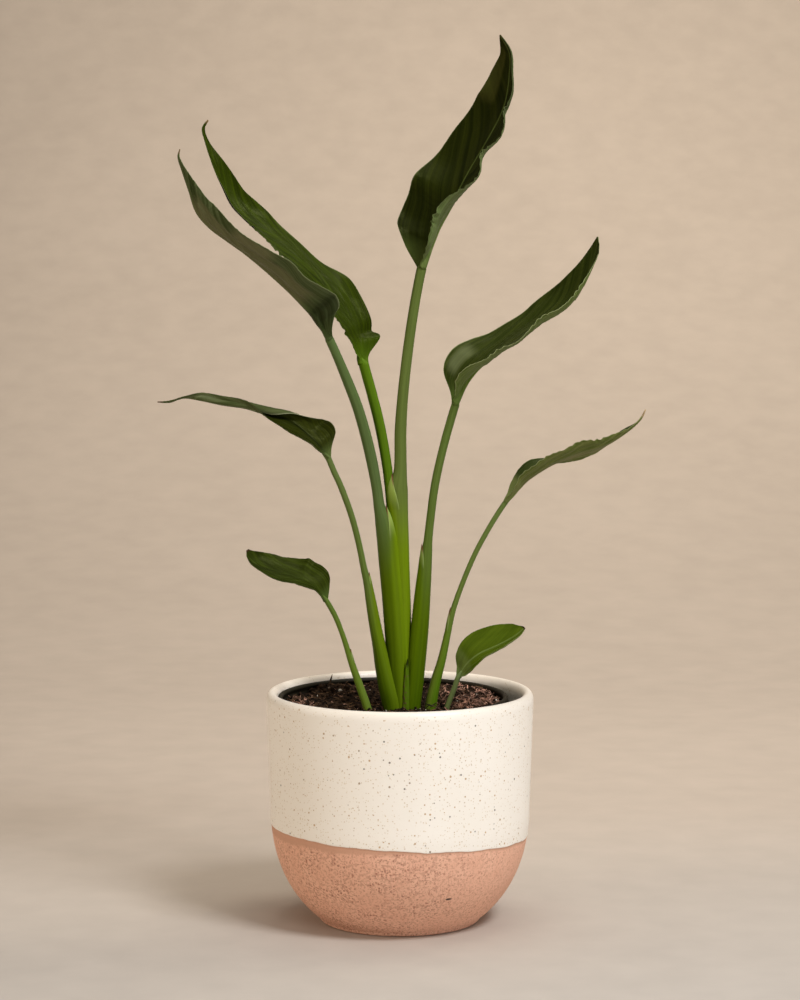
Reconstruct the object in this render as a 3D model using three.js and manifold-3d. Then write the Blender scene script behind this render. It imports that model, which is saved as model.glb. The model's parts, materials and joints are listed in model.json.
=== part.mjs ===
// Potted bird of paradise: a young plant of eight leaves in its plastic nursery pot, which stands
// inside a round glazed stoneware pot. Millimetres, +Z up, the front of the plant faces -Y, and the
// origin is the middle of the stoneware pot's foot.
import * as THREE from "three";
import { mergeVertices } from "three/addons/utils/BufferGeometryUtils.js";
import Module from "manifold-3d";

const wasm = await Module();
wasm.setup();

// Clearance between two pieces that touch on the real plant.
const GAP = 0.3;

// Stoneware pot: a straight wall that leans out a little, over a bowl that closes to a flat foot. Its
// rings crowd towards the foot, where the bowl turns in fastest.
const POT_HEIGHT = 171;
const POT_RADIUS = 98;
const POT_WALL = 7.5;
const POT_LIP_HEIGHT = 6;
const BOWL_TOP = 85;
const BOWL_RADIUS = 95.5;
const BOWL_DEPTH = 100.4;
const BOWL_POWER = 2.2;
const BOWL_RINGS = 9;
const BOWL_CROWDING = 1.6;
const INNER_BOWL_RISE = 2;
const INNER_FLOOR_FILLET = 4;
const FOOT_HEIGHT = 3;
const FOOT_RADIUS = 57;
const POT_FLOOR = 10;
const POT_SIDES = 52;

// Nursery pot: thin, tapered, with a wider band below its rim and a slanted corner round its floor.
// It leans on the left of the stoneware pot.
const NURSERY_SHIFT = -5.2;
const NURSERY_TOP = 167.5;
const NURSERY_BOTTOM = POT_FLOOR + GAP;
const NURSERY_RIM_RADIUS = 85;
const NURSERY_TOP_RADIUS = 82.5;
const NURSERY_FLOOR_RADIUS = 50;
const NURSERY_CORNER = { run: 5, rise: 6 };
const NURSERY_WALL = 1.5;
const RIM_BAND = 9;
const DRAIN_HOLES = 6;
const DRAIN_HOLE_RADIUS = 4;
const DRAIN_HOLE_SIDES = 12;
const DRAIN_RING_RADIUS = 34;
const NURSERY_SIDES = 44;

// Soil: fills the nursery pot nearly to its rim, lower round the stalks, with a lumpy top and two
// heaps at the back, one on each side.
const SOIL_TOP = 156;
const SOIL_EDGE_RISE = 5;
const SOIL_RINGS = [0.14, 0.3, 0.46, 0.62, 0.78, 0.92];
const SOIL_LUMP = { height: 1.2, broad: 13, fine: 3.4 };
const SOIL_HEAPS = [
  { x: 56, y: 40, spread: 26, height: 4 },
  { x: -56, y: 35, spread: 26, height: 4 },
];

// Blades: thickness, the cells along and across one half, how deep each half sags between midrib and
// margin, the steepest that a half can stand, and the keel that the midrib makes below.
const BLADE_THICKNESS = 0.8;
const BLADE_STEP = 8;
const BLADE_CELLS = [0.3, 0.66, 1];
const TROUGH = 0.09;
const STEEPEST = 0.97;
const KEEL = { width: 0.7, narrowing: 0.7, fading: 1.6, widest: 0.45 };
const RIPPLE_FADE = 0.6;
const RIPPLE_OFFSET = 2.4;

// Stalks: sides, the step between rings, and the groove along the upper side.
const STALK_SIDES = 12;
const STALK_STEP = 12;
const STALK_GROOVE = { depth: 0.12, width: 0.5 };

// Each leaf is one curve from its root in the soil to its tip. A stalk row holds x, y, z, then the
// half-width seen from the front and the half-depth: the low, wide rows are the leaf's sheath. A
// blade row holds x, y, z of the midrib, then the half-width of the blade from midrib to margin,
// then how far the far margin and the near margin stand above the midrib, seen from the front. The
// rest of the half-width goes into depth. side is 1 for a leaf that arches right, -1 for left.
const LEAVES = [
  {
    name: "leaf_1",
    side: 1,
    ripple: [1.0, 5.3, 0.4],
    stalk: [
      [2.5, 0, 138, 5.8, 5.8],
      [2.5, 0, 160, 6.8, 6.4],
      [2.2, 0, 180, 6.9, 6.4],
      [1.9, 0, 200, 6.9, 6.4],
      [1.3, 0, 220, 7.0, 6.4],
      [0.7, 0, 240, 7.1, 6.4],
      [0.0, 0, 260, 7.1, 6.4],
      [-0.6, 0, 280, 7.2, 6.4],
      [-1.2, 0, 300, 7.2, 6.3],
      [-1.8, 0, 320, 7.5, 6.2],
      [-0.2, 0, 332, 5.3, 4.8],
      [0.1, 0.5, 345, 4.7, 4.6],
      [0.1, 1, 362, 4.6, 4.5],
      [1.3, 1, 382, 4.3, 4.3],
      [3.2, 1, 402, 4.1, 4.1],
      [5.6, 2, 422, 4.0, 4.0],
      [8.4, 2, 442, 3.9, 3.9],
      [11.7, 3, 462, 3.8, 3.8],
    ],
    blade: [
      [15.5, 3, 481, 4.0, 3.0, 2.0],
      [19.0, 4, 492, 17, 16, 1.5],
      [23.0, 4, 502, 29, 27, 2.5],
      [27.8, 5, 512, 34, 28.6, 7],
      [33.7, 5, 522, 37, 31.2, 6.8],
      [40.6, 6, 534, 38, 33.2, 1],
      [49, 7, 550, 37, 26.8, -6.4],
      [57, 8, 563.5, 35, 25, -1],
      [66, 8, 579, 32, 22.1, -5.8],
      [73, 9, 592.5, 28, 21.5, -1],
      [77, 9, 604.5, 24, 19.5, -2.4],
      [79.2, 10, 620, 17, 14.2, -1.2],
      [79.4, 10, 636, 9.4, 7.6, -1.2],
      [72.5, 10, 649.5, 0.8, 0.5, -0.3],
    ],
  },
  {
    name: "leaf_2",
    side: -1,
    ripple: [0.9, 6.2, 1.9],
    stalk: [
      [0.5, 0, 140, 3.0, 3.0],
      [0, 0, 165, 3.2, 3.2],
      [-0.8, 0, 190, 3.3, 3.3],
      [-1.6, 0, 215, 3.4, 3.4],
      [-2.6, 0, 240, 3.5, 3.5],
      [-3.6, 0, 265, 3.6, 3.6],
      [-4.8, 0, 290, 3.7, 3.7],
      [-6.6, 0.5, 312, 3.8, 3.7],
      [-8.4, 1, 330, 3.8, 3.8],
      [-11.4, 2, 350, 3.9, 3.9],
      [-15.4, 4, 370, 4.0, 4.0],
      [-20.5, 7, 390, 4.0, 4.0],
    ],
    blade: [
      [-26.3, 10, 411, 4.0, 3.2, -1],
      [-27.2, 11, 419, 8.5, 5, -5],
      [-29.5, 13, 428, 17.5, 15, -6.5],
      [-31.2, 14, 433, 18.5, 10.3, -7.5],
      [-33.6, 15, 440, 20, 12.7, -8.5],
      [-42.2, 18, 453, 21.5, 14.5, -9],
      [-52.3, 20, 465, 22, 16.0, -8.5],
      [-64.4, 21, 480, 20.5, 8.3, -8],
      [-77.4, 22, 494.5, 19, 5.0, -9],
      [-90.5, 22, 504.5, 18, 7.2, -7.1],
      [-102.6, 22, 512.5, 17.5, 10.7, -4.8],
      [-113.6, 22, 519.5, 17, 12.4, -0.9],
      [-122.7, 22, 529, 15, 12.3, -0.7],
      [-129.2, 22, 543, 11.5, 9.2, -1.4],
      [-134.8, 21, 557, 7.5, 5.8, -1.8],
      [-141.0, 21, 572, 3.4, 2, -1.3],
      [-143.6, 20, 582, 1.8, 1, -0.8],
      [-140.0, 20, 588.5, 0.8, 0.4, -0.4],
    ],
  },
  {
    name: "leaf_3",
    side: -1,
    ripple: [0.9, 6.6, 3.3],
    stalk: [
      [-0.3, -0.5, 140, 7.0, 8.0],
      [-0.8, -0.5, 165, 7.8, 8.6],
      [-1.6, -0.5, 185, 8.2, 8.8],
      [-2.3, -0.5, 205, 8.4, 8.8],
      [-3.5, -0.5, 225, 8.6, 8.8],
      [-5.0, -0.5, 245, 8.6, 8.7],
      [-6.9, -0.5, 265, 8.6, 8.6],
      [-8.6, -1, 282, 8.3, 8.2],
      [-11.4, -1, 296, 6.9, 7.2],
      [-14.8, -1, 307, 4.5, 5.0],
      [-16.6, -1, 320, 4.1, 4.2],
      [-19.8, -2, 338, 4.3, 4.2],
      [-24.3, -3, 358, 4.3, 4.2],
      [-30.6, -4, 380, 4.1, 4.0],
      [-38.2, -5, 400, 3.9, 3.8],
      [-45.2, -7, 417, 3.5, 3.4],
    ],
    blade: [
      [-51.0, -8, 430, 3.4, 2.4, 2.6],
      [-54.4, -9, 437, 12, 4, 5.5],
      [-59.0, -10, 442.5, 20, 8, 16.6],
      [-63.2, -11, 448.3, 24, 9, 21.8],
      [-69.1, -12, 454.7, 28, 9, 20],
      [-78.9, -12, 464.6, 30, 8, 15.7],
      [-89.9, -12, 474.5, 31, 8, 17.2],
      [-100.9, -12, 483.9, 31, 7, 13.8],
      [-112.7, -12, 493.2, 30, 6, 11.3],
      [-125.5, -12, 502.0, 27, 7, 12.4],
      [-137.8, -12, 511.0, 23, 8, 14.4],
      [-147.1, -12, 522.0, 18, 8, 14.2],
      [-152.0, -12, 536.6, 12.5, 4, 8.2],
      [-157.1, -12, 551.6, 6, 1.8, 3.6],
      [-160.0, -11, 561, 2.4, 0.8, 1.5],
      [-158.8, -10, 567, 0.8, 0.4, 0.4],
    ],
  },
  {
    name: "leaf_4",
    side: 1,
    ripple: [0.9, 5.6, 5.0],
    stalk: [
      [8.6, -3, 140, 5.6, 6.0],
      [8.9, -3, 160, 6.3, 6.6],
      [11.0, -3, 180, 6.6, 6.8],
      [13.0, -3, 200, 6.6, 6.8],
      [14.7, -3, 220, 6.5, 6.6],
      [16.3, -2.5, 240, 6.0, 6.2],
      [17.9, -2, 258, 5.2, 5.4],
      [19.3, -1, 272, 4.3, 4.6],
      [20.5, -1, 284, 3.4, 3.4],
      [22.3, 0, 300, 3.2, 3.2],
      [24.9, 0, 320, 3.2, 3.2],
      [28.9, 0, 340, 3.2, 3.2],
      [34.2, 0, 361, 3.2, 3.2],
    ],
    blade: [
      [40.3, 0, 382, 3.2, 2.6, 2.4],
      [43.3, 0, 390, 11, 8, 3.5],
      [47.6, 0, 398, 22.5, 18.8, 8],
      [54, 0, 406.5, 29, 21.5, 7],
      [62.5, 0, 414.7, 31, 17.5, 2.7],
      [72, 0, 422.5, 31, 12.7, 1.6],
      [82, 0, 430.3, 31, 10.2, -1.8],
      [93, 0, 437.6, 30, 10, 0.4],
      [104, 0, 443.7, 29, 12.6, 4],
      [116, 0, 451, 27, 14.2, 2.8],
      [125.8, 0, 459.7, 23, 14.2, 2.2],
      [133, 0, 470.5, 18, 11.8, 1.8],
      [138.3, 0, 482.3, 12, 8.2, -0.4],
      [141.9, 0, 493.2, 7, 4.8, -2.2],
      [143.5, 0, 504, 0.8, 0.4, -0.4],
    ],
  },
  {
    name: "leaf_5",
    side: -1,
    ripple: [0.7, 5.1, 2.6],
    stalk: [
      [-4.8, -3.5, 140, 6.4, 7.0],
      [-5.8, -3.5, 160, 7.2, 7.8],
      [-9.0, -3.5, 175, 7.0, 7.9],
      [-12.4, -3, 190, 6.1, 7.4],
      [-15.4, -3, 205, 4.9, 6.6],
      [-18.3, -2.5, 220, 4.4, 5.4],
      [-21.1, -2, 236, 3.9, 4.4],
      [-23.6, -1, 250, 3.2, 3.4],
      [-26.4, -1, 262, 2.6, 2.7],
      [-30.1, 0, 280, 2.4, 2.4],
      [-35.3, 0, 300, 2.4, 2.4],
      [-42.4, 0, 320, 2.4, 2.4],
      [-48.2, 0, 333, 2.3, 2.3],
    ],
    blade: [
      [-52.2, 0, 342.5, 2.5, 1.9, 1.0],
      [-55.0, 0, 347.3, 9, 6.3, -1.2],
      [-58.2, 0, 351.1, 16, 15, -1.6],
      [-62.4, 0, 355.5, 19.5, 17.4, -1.4],
      [-67, 0, 359.9, 20, 14.4, -3.4],
      [-73.5, 0, 365.6, 18, 9.4, -5.7],
      [-82, 0, 370.9, 14, 6.0, -6.3],
      [-94, 0, 374.2, 10, 5.6, -3.0],
      [-104, 0, 376.8, 8.7, 5.4, 2.6],
      [-114, 0, 379.4, 8.7, 5.0, 6.2],
      [-130, 0, 381.6, 8.4, 4.8, 7.0],
      [-146, 0, 384.9, 7.4, 4.6, 6.2],
      [-158, 0, 386.6, 5, 1, 1.2],
      [-168, 0, 383.4, 2.8, 0.8, 1.6],
      [-177, 0, 383.6, 0.8, 0.4, 0.5],
    ],
  },
  {
    name: "leaf_6",
    side: 1,
    ripple: [0.7, 5.7, 4.2],
    stalk: [
      [20.8, -2, 140, 3.8, 4.2],
      [22.7, -2, 160, 4.3, 4.8],
      [26.0, -2, 177, 3.8, 4.4],
      [30.7, -2, 194, 3.1, 3.6],
      [34.9, -1, 213, 2.5, 2.8],
      [38.7, -1, 230, 2.2, 2.3],
      [45.6, 0, 250, 2.0, 2.1],
      [55.3, 0, 273.0, 2.0, 2.0],
      [67.0, 0, 294.5, 2.0, 2.0],
    ],
    blade: [
      [77.3, 0, 310.5, 2.3, 1.8, 1.4],
      [82, 0, 315.8, 7, 3.5, 1.8],
      [87, 0, 321.3, 13, 6.3, 3.8],
      [93, 0, 327, 18, 8.5, 7],
      [101.5, 0, 332.8, 21, 8.4, 8],
      [111, 0, 338.2, 22, 3.5, 8.4],
      [121, 0, 342.4, 22, -3.6, 8.8],
      [132, 0, 346, 21, -5.4, 10.2],
      [143.2, 0, 348.7, 19, -2, 9.2],
      [153.4, 0, 353.5, 15.5, 2, 6.9],
      [163.6, 0, 360.1, 10.5, 2.2, 3.7],
      [171.7, 0, 366.5, 5.8, 1, 2.0],
      [176.8, 0, 372.1, 2.9, 0.8, 1.2],
      [179.5, 0, 378.3, 0.8, 0.4, 0.3],
    ],
  },
  {
    name: "leaf_7",
    side: -1,
    ripple: [0.6, 3.6, 0.9],
    stalk: [
      [-20.1, -7, 142, 2.7, 2.8],
      [-24.3, -8, 160, 3.0, 3.1],
      [-29.7, -9, 176, 2.8, 2.9],
      [-35.7, -11, 194, 2.4, 2.5],
      [-41.1, -13, 212, 2.0, 2.0],
      [-46.9, -15, 227.6, 2.0, 2.0],
    ],
    blade: [
      [-53.5, -17, 240.0, 2.0, 1.4, -0.5],
      [-57.0, -18, 246.0, 8.5, 7.2, -1.2],
      [-61.7, -18, 251.1, 15, 13.6, -1.0],
      [-68.3, -19, 255.3, 17, 13.0, -2.3],
      [-72.4, -19, 257.1, 17.5, 14.1, -3.2],
      [-77, -19, 258.7, 17, 11.2, -3.8],
      [-87, -20, 261.6, 15.5, 9.0, -4.4],
      [-96, -20, 264.6, 14, 9.6, -3.6],
      [-104, -20, 269, 10.5, 7.2, -3.4],
      [-108.6, -20, 273.4, 6, 4.4, -2.4],
      [-111, -20, 277.6, 1.2, 0.9, -0.7],
    ],
  },
  {
    name: "leaf_8",
    side: 1,
    ripple: [0.6, 3.2, 2.2],
    stalk: [
      [30.2, -5, 145, 2.1, 2.0],
      [34.8, -6, 160, 2.0, 1.9],
      [39.3, -8, 172.5, 2.0, 1.9],
    ],
    blade: [
      [42.6, -10, 182.6, 2.1, 1.5, -1.2],
      [45.2, -11, 187.6, 7, 4.8, -4.2],
      [48.6, -12, 192.6, 11.5, 10.3, -5],
      [53.6, -14, 197.6, 15, 13.8, -4.4],
      [60, -15, 201.9, 16.6, 15.1, -2.8],
      [67.5, -16, 205.3, 16.4, 14.6, -1.0],
      [75, -16, 208.8, 15.2, 13.5, -0.5],
      [82, -16, 212.6, 12.4, 10.9, -0.4],
      [87.4, -16, 216.5, 8.3, 7.2, -0.6],
      [91, -16, 220, 1.2, 0.9, -0.7],
    ],
  },
];

// The sheaths clasp one another, from the innermost stalk to the outermost.
const CLASPING_ORDER = ["leaf_2", "leaf_1", "leaf_3", "leaf_4", "leaf_5", "leaf_6", "leaf_7", "leaf_8"];

// Withered bract at the front of the clump: x, y, z, half-width, half-depth.
const BRACT = [
  [4.6, -8.6, 146, 2.0, 1.8],
  [4.4, -9.0, 160, 2.6, 1.9],
  [4.4, -9.0, 174, 2.2, 1.7],
  [4.9, -8.6, 186, 1.2, 1.4],
  [5.3, -8.2, 196, 0.5, 0.9],
];

// Colours and surface of each material.
function finish(color, roughness) {
  return new THREE.MeshStandardMaterial({ color, roughness, metalness: 0 });
}
const glazedStoneware = finish(0xe9ddc9, 0.45);
const greyPlastic = finish(0x4a4e48, 0.6);
const pottingMix = finish(0x33241a, 0.95);
const bladeGreen = finish(0x35451a, 0.4);
const stalkGreen = finish(0x587a1c, 0.45);
const dryBract = finish(0x5a3d33, 0.8);

// A geometry with only merged positions and no collapsed triangles.
function tidy(geometry) {
  const bare = geometry.clone();
  bare.deleteAttribute("normal");
  bare.deleteAttribute("uv");
  const merged = mergeVertices(bare, 1e-4);
  const corners = merged.index.array;
  const kept = [];
  for (let i = 0; i < corners.length; i += 3) {
    const [a, b, c] = [corners[i], corners[i + 1], corners[i + 2]];
    if (a !== b && b !== c && c !== a) {
      kept.push(a, b, c);
    }
  }
  merged.setIndex(kept);
  return merged;
}

// Six times the signed volume, which is negative when the faces point in.
function signedVolume(geometry) {
  const position = geometry.attributes.position;
  const corners = geometry.index.array;
  const [p, q, r] = [new THREE.Vector3(), new THREE.Vector3(), new THREE.Vector3()];
  let sum = 0;
  for (let i = 0; i < corners.length; i += 3) {
    p.fromBufferAttribute(position, corners[i]);
    q.fromBufferAttribute(position, corners[i + 1]);
    r.fromBufferAttribute(position, corners[i + 2]);
    sum += p.dot(q.cross(r));
  }
  return sum;
}

// The same closed geometry with its faces pointing out.
function facingOut(geometry) {
  if (signedVolume(geometry) < 0) {
    const flipped = [];
    const corners = geometry.index.array;
    for (let i = 0; i < corners.length; i += 3) {
      flipped.push(corners[i], corners[i + 2], corners[i + 1]);
    }
    geometry.setIndex(flipped);
  }
  return geometry;
}

function toSolid(geometry) {
  const closed = facingOut(tidy(geometry));
  return new wasm.Manifold(new wasm.Mesh({
    numProp: 3,
    vertProperties: Float32Array.from(closed.attributes.position.array),
    triVerts: Uint32Array.from(closed.index.array),
  }));
}

function toGeometry(solid) {
  const mesh = solid.getMesh();
  const geometry = new THREE.BufferGeometry();
  geometry.setAttribute("position", new THREE.BufferAttribute(mesh.vertProperties, 3));
  geometry.setIndex(new THREE.BufferAttribute(mesh.triVerts, 1));
  geometry.computeVertexNormals();
  return geometry;
}

// The largest body of a cut solid: a cut may leave crumbs beside it.
function mainBody(solid) {
  const bodies = solid.decompose();
  bodies.sort((a, b) => b.volume() - a.volume());
  return bodies[0];
}

function geometryFrom(points, corners) {
  const geometry = new THREE.BufferGeometry();
  const flat = points.flatMap((p) => [p.x, p.y, p.z]);
  geometry.setAttribute("position", new THREE.Float32BufferAttribute(flat, 3));
  geometry.setIndex(corners);
  return facingOut(geometry);
}

// A closed body through rings of equally many points, with a flat fan on each end.
function loft(rings) {
  const points = rings.flat();
  const sides = rings[0].length;
  const corners = [];
  for (let i = 0; i + 1 < rings.length; i += 1) {
    for (let j = 0; j < sides; j += 1) {
      const [a, b] = [i * sides + j, i * sides + ((j + 1) % sides)];
      corners.push(a, b, b + sides, a, b + sides, a + sides);
    }
  }
  for (const end of [0, rings.length - 1]) {
    const middle = new THREE.Vector3();
    rings[end].forEach((p) => middle.addScaledVector(p, 1 / sides));
    points.push(middle);
    const hub = points.length - 1;
    for (let j = 0; j < sides; j += 1) {
      const [a, b] = [end * sides + j, end * sides + ((j + 1) % sides)];
      corners.push(...(end === 0 ? [hub, b, a] : [hub, a, b]));
    }
  }
  return geometryFrom(points, corners);
}

// A closed body between two sheets of points with the same rows and columns. Both sheets are cut
// into triangles along the same diagonals.
function slab(upper, lower) {
  const [rows, columns] = [upper.length, upper[0].length];
  const points = [...upper.flat(), ...lower.flat()];
  const at = (i, j) => i * columns + j;
  const under = (i, j) => rows * columns + i * columns + j;
  const corners = [];
  for (let i = 0; i + 1 < rows; i += 1) {
    for (let j = 0; j + 1 < columns; j += 1) {
      corners.push(at(i, j), at(i, j + 1), at(i + 1, j + 1), at(i, j), at(i + 1, j + 1), at(i + 1, j));
      corners.push(under(i, j), under(i + 1, j + 1), under(i, j + 1));
      corners.push(under(i, j), under(i + 1, j), under(i + 1, j + 1));
    }
    for (const j of [0, columns - 1]) {
      const edge = [at(i, j), at(i + 1, j), under(i + 1, j), at(i, j), under(i + 1, j), under(i, j)];
      corners.push(...(j === 0 ? edge : edge.reverse()));
    }
  }
  for (let j = 0; j + 1 < columns; j += 1) {
    for (const i of [0, rows - 1]) {
      const edge = [at(i, j), under(i, j + 1), at(i, j + 1), at(i, j), under(i, j), under(i, j + 1)];
      corners.push(...(i === 0 ? edge : edge.reverse()));
    }
  }
  return geometryFrom(points, corners);
}

// A closed solid of revolution about the vertical axis from (radius, height) points.
function turned(profile, sides) {
  const outline = profile.map(([radius, height]) => new THREE.Vector2(radius, height));
  const geometry = new THREE.LatheGeometry(outline, sides);
  geometry.rotateX(Math.PI / 2);
  return facingOut(tidy(geometry));
}

// Smooth curve through rows of three numbers each.
function smooth(rows) {
  const points = rows.map(([a, b, c]) => new THREE.Vector3(a, b, c));
  return new THREE.CatmullRomCurve3(points, false, "catmullrom", 0.5);
}

// Point and directions of a leaf's own frame at a place on its curve: along the leaf, into depth,
// and towards its upper side.
function leafFrame(axis, place, side) {
  const middle = axis.getPoint(place);
  const along = axis.getTangent(place);
  const depth = new THREE.Vector3(0, 1, 0);
  depth.addScaledVector(along, -along.y).normalize();
  const up = along.clone().cross(depth).multiplyScalar(side);
  return { middle, along, depth, up };
}

function leafAxis(leaf) {
  return smooth([...leaf.stalk, ...leaf.blade]);
}

// Stalk with its sheath: rings across the leaf's curve from the root to the foot of the blade. grow
// makes every ring wider, for a hole with clearance around the stalk.
function stalkGeometry(leaf, grow) {
  const axis = leafAxis(leaf);
  const rowCount = leaf.stalk.length + leaf.blade.length;
  const bladeStart = leaf.stalk.length / (rowCount - 1);
  const first = leaf.blade[0];
  const neck = Math.min(first[3], leaf.stalk.at(-1)[3]);
  const widths = smooth([...leaf.stalk, first].map((row, i) =>
    i === leaf.stalk.length ? [neck, neck, 0] : [row[3], row[4], 0]));
  const length = axis.getPoint(bladeStart).distanceTo(axis.getPoint(0));
  const ringCount = Math.ceil(length / STALK_STEP) + 1;
  const rings = [];
  for (let i = 0; i < ringCount; i += 1) {
    const share = i / (ringCount - 1);
    const frame = leafFrame(axis, share * bladeStart, leaf.side);
    const size = widths.getPoint(share);
    if (i === ringCount - 1) {
      frame.middle.addScaledVector(frame.along, -GAP);
    }
    const ring = [];
    for (let j = 0; j < STALK_SIDES; j += 1) {
      const angle = (2 * Math.PI * j) / STALK_SIDES;
      const fromUpper = Math.min(angle, 2 * Math.PI - angle);
      const groove = 1 - STALK_GROOVE.depth * Math.exp(-((fromUpper / STALK_GROOVE.width) ** 2));
      const across = (size.x + grow) * Math.cos(angle) * groove;
      const deep = (size.y + grow) * Math.sin(angle);
      ring.push(frame.middle.clone().addScaledVector(frame.up, across).addScaledVector(frame.depth, deep));
    }
    rings.push(ring);
  }
  return loft(rings);
}

// One half of a blade across its width, from the midrib out: the upper and the lower point of each
// column. The midrib stands out below as a keel.
function halfSection(frame, towards, reach, lift, keel, wave) {
  const rise = THREE.MathUtils.clamp(lift / reach, -STEEPEST, STEEPEST);
  const run = Math.sqrt(1 - rise * rise);
  const out = frame.depth.clone().multiplyScalar(towards * run).addScaledVector(frame.up, rise);
  const upper = frame.depth.clone().multiplyScalar(-towards * rise).addScaledVector(frame.up, run);
  const keelWidth = Math.min(keel.width, KEEL.widest * reach);
  const columns = [keelWidth, ...BLADE_CELLS.map((share) => keelWidth + (reach - keelWidth) * share)];
  const points = columns.map((distance) => {
    const share = distance / reach;
    const sag = TROUGH * reach * 4 * share * (1 - share);
    return frame.middle.clone()
      .addScaledVector(out, distance)
      .addScaledVector(upper, wave * share * share - sag);
  });
  return { points, upper };
}

function bladeGeometry(leaf) {
  const axis = leafAxis(leaf);
  const rowCount = leaf.stalk.length + leaf.blade.length;
  const bladeStart = leaf.stalk.length / (rowCount - 1);
  const spans = smooth(leaf.blade.map((row) => row.slice(3)));
  let length = 0;
  for (let i = 1; i < leaf.blade.length; i += 1) {
    length += Math.hypot(...[0, 1, 2].map((k) => leaf.blade[i][k] - leaf.blade[i - 1][k]));
  }
  const rowsAlong = Math.round(length / BLADE_STEP);
  const [amplitude, waves, phase] = leaf.ripple;
  const neck = leaf.blade[0][3];
  const [upper, lower] = [[], []];
  for (let i = 0; i <= rowsAlong; i += 1) {
    const share = i / rowsAlong;
    const frame = leafFrame(axis, bladeStart + (1 - bladeStart) * share, leaf.side);
    const { x: reach, y: far, z: near } = spans.getPoint(share);
    const keel = {
      width: KEEL.width * neck * (1 - KEEL.narrowing * share),
      depth: neck * (1 - share) ** KEEL.fading,
    };
    const swell = amplitude * Math.sin(Math.PI * share) ** RIPPLE_FADE;
    const farWave = swell * Math.sin(2 * Math.PI * waves * share + phase);
    const nearWave = swell * Math.sin(2 * Math.PI * waves * share + phase + RIPPLE_OFFSET);
    const nearHalf = halfSection(frame, -1, reach, near, keel, nearWave);
    const farHalf = halfSection(frame, 1, reach, far, keel, farWave);
    const ridge = nearHalf.upper.clone().add(farHalf.upper).normalize();
    const shift = (points, way, distance) => points.map((p) => p.clone().addScaledVector(way, distance));
    const half = BLADE_THICKNESS / 2;
    upper.push([
      ...shift(nearHalf.points, nearHalf.upper, half).reverse(),
      ...shift([frame.middle], ridge, half),
      ...shift(farHalf.points, farHalf.upper, half),
    ]);
    lower.push([
      ...shift(nearHalf.points, nearHalf.upper, -half).reverse(),
      ...shift([frame.middle], ridge, -half - keel.depth),
      ...shift(farHalf.points, farHalf.upper, -half),
    ]);
  }
  return slab(upper, lower);
}

// Stoneware pot as one turned solid.
function bowlRadius(height) {
  const fall = ((BOWL_TOP - height) / BOWL_DEPTH) ** BOWL_POWER;
  return BOWL_RADIUS * (1 - fall) ** (1 / BOWL_POWER);
}

function potGeometry() {
  const wallTop = POT_HEIGHT - POT_LIP_HEIGHT;
  const outside = [[0, 0], [FOOT_RADIUS, 0]];
  const inside = [];
  for (let i = 0; i < BOWL_RINGS; i += 1) {
    const share = (i / BOWL_RINGS) ** BOWL_CROWDING;
    const outerHeight = THREE.MathUtils.lerp(FOOT_HEIGHT, BOWL_TOP, share);
    const innerHeight = THREE.MathUtils.lerp(POT_FLOOR, BOWL_TOP, share);
    outside.push([bowlRadius(outerHeight), outerHeight]);
    inside.push([bowlRadius(innerHeight - INNER_BOWL_RISE) - POT_WALL, innerHeight]);
  }
  inside[0][0] -= INNER_FLOOR_FILLET;
  outside.push([BOWL_RADIUS, BOWL_TOP], [POT_RADIUS, wallTop]);
  inside.push([BOWL_RADIUS - POT_WALL, BOWL_TOP], [POT_RADIUS - POT_WALL, wallTop]);
  const lip = [];
  for (const angle of [30, 60, 90, 120, 150]) {
    const turn = THREE.MathUtils.degToRad(angle);
    const middle = POT_RADIUS - POT_WALL / 2;
    lip.push([middle + (POT_WALL / 2) * Math.cos(turn), wallTop + POT_LIP_HEIGHT * Math.sin(turn)]);
  }
  return turned([...outside, ...lip, ...inside.reverse(), [0, POT_FLOOR]], POT_SIDES);
}

// Outline of the nursery pot from its axis up to a height, set in from its outside by a distance.
function nurseryOutline(inset, top) {
  const bandFoot = NURSERY_TOP - RIM_BAND + inset;
  const cornerTop = NURSERY_BOTTOM + NURSERY_CORNER.rise + 0.4 * inset;
  return [
    [0, NURSERY_BOTTOM + inset],
    [NURSERY_FLOOR_RADIUS - 0.6 * inset, NURSERY_BOTTOM + inset],
    [NURSERY_FLOOR_RADIUS + NURSERY_CORNER.run - inset, cornerTop],
    [NURSERY_TOP_RADIUS - inset, bandFoot],
    [NURSERY_RIM_RADIUS - inset, bandFoot],
    [NURSERY_RIM_RADIUS - inset, top],
  ];
}

// Nursery pot with drain holes through its floor.
function nurseryGeometry() {
  const outside = nurseryOutline(0, NURSERY_TOP);
  const inside = nurseryOutline(NURSERY_WALL, NURSERY_TOP);
  let solid = toSolid(turned([...outside, ...inside.reverse()], NURSERY_SIDES));
  for (let i = 0; i < DRAIN_HOLES; i += 1) {
    const turn = (2 * Math.PI * i) / DRAIN_HOLES;
    const drill = 6 * NURSERY_WALL;
    const hole = new THREE.CylinderGeometry(DRAIN_HOLE_RADIUS, DRAIN_HOLE_RADIUS, drill, DRAIN_HOLE_SIDES);
    hole.rotateX(Math.PI / 2);
    hole.translate(DRAIN_RING_RADIUS * Math.cos(turn), DRAIN_RING_RADIUS * Math.sin(turn), NURSERY_BOTTOM);
    solid = solid.subtract(toSolid(hole));
  }
  const geometry = toGeometry(solid);
  geometry.translate(NURSERY_SHIFT, 0, 0);
  return geometry;
}

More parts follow.
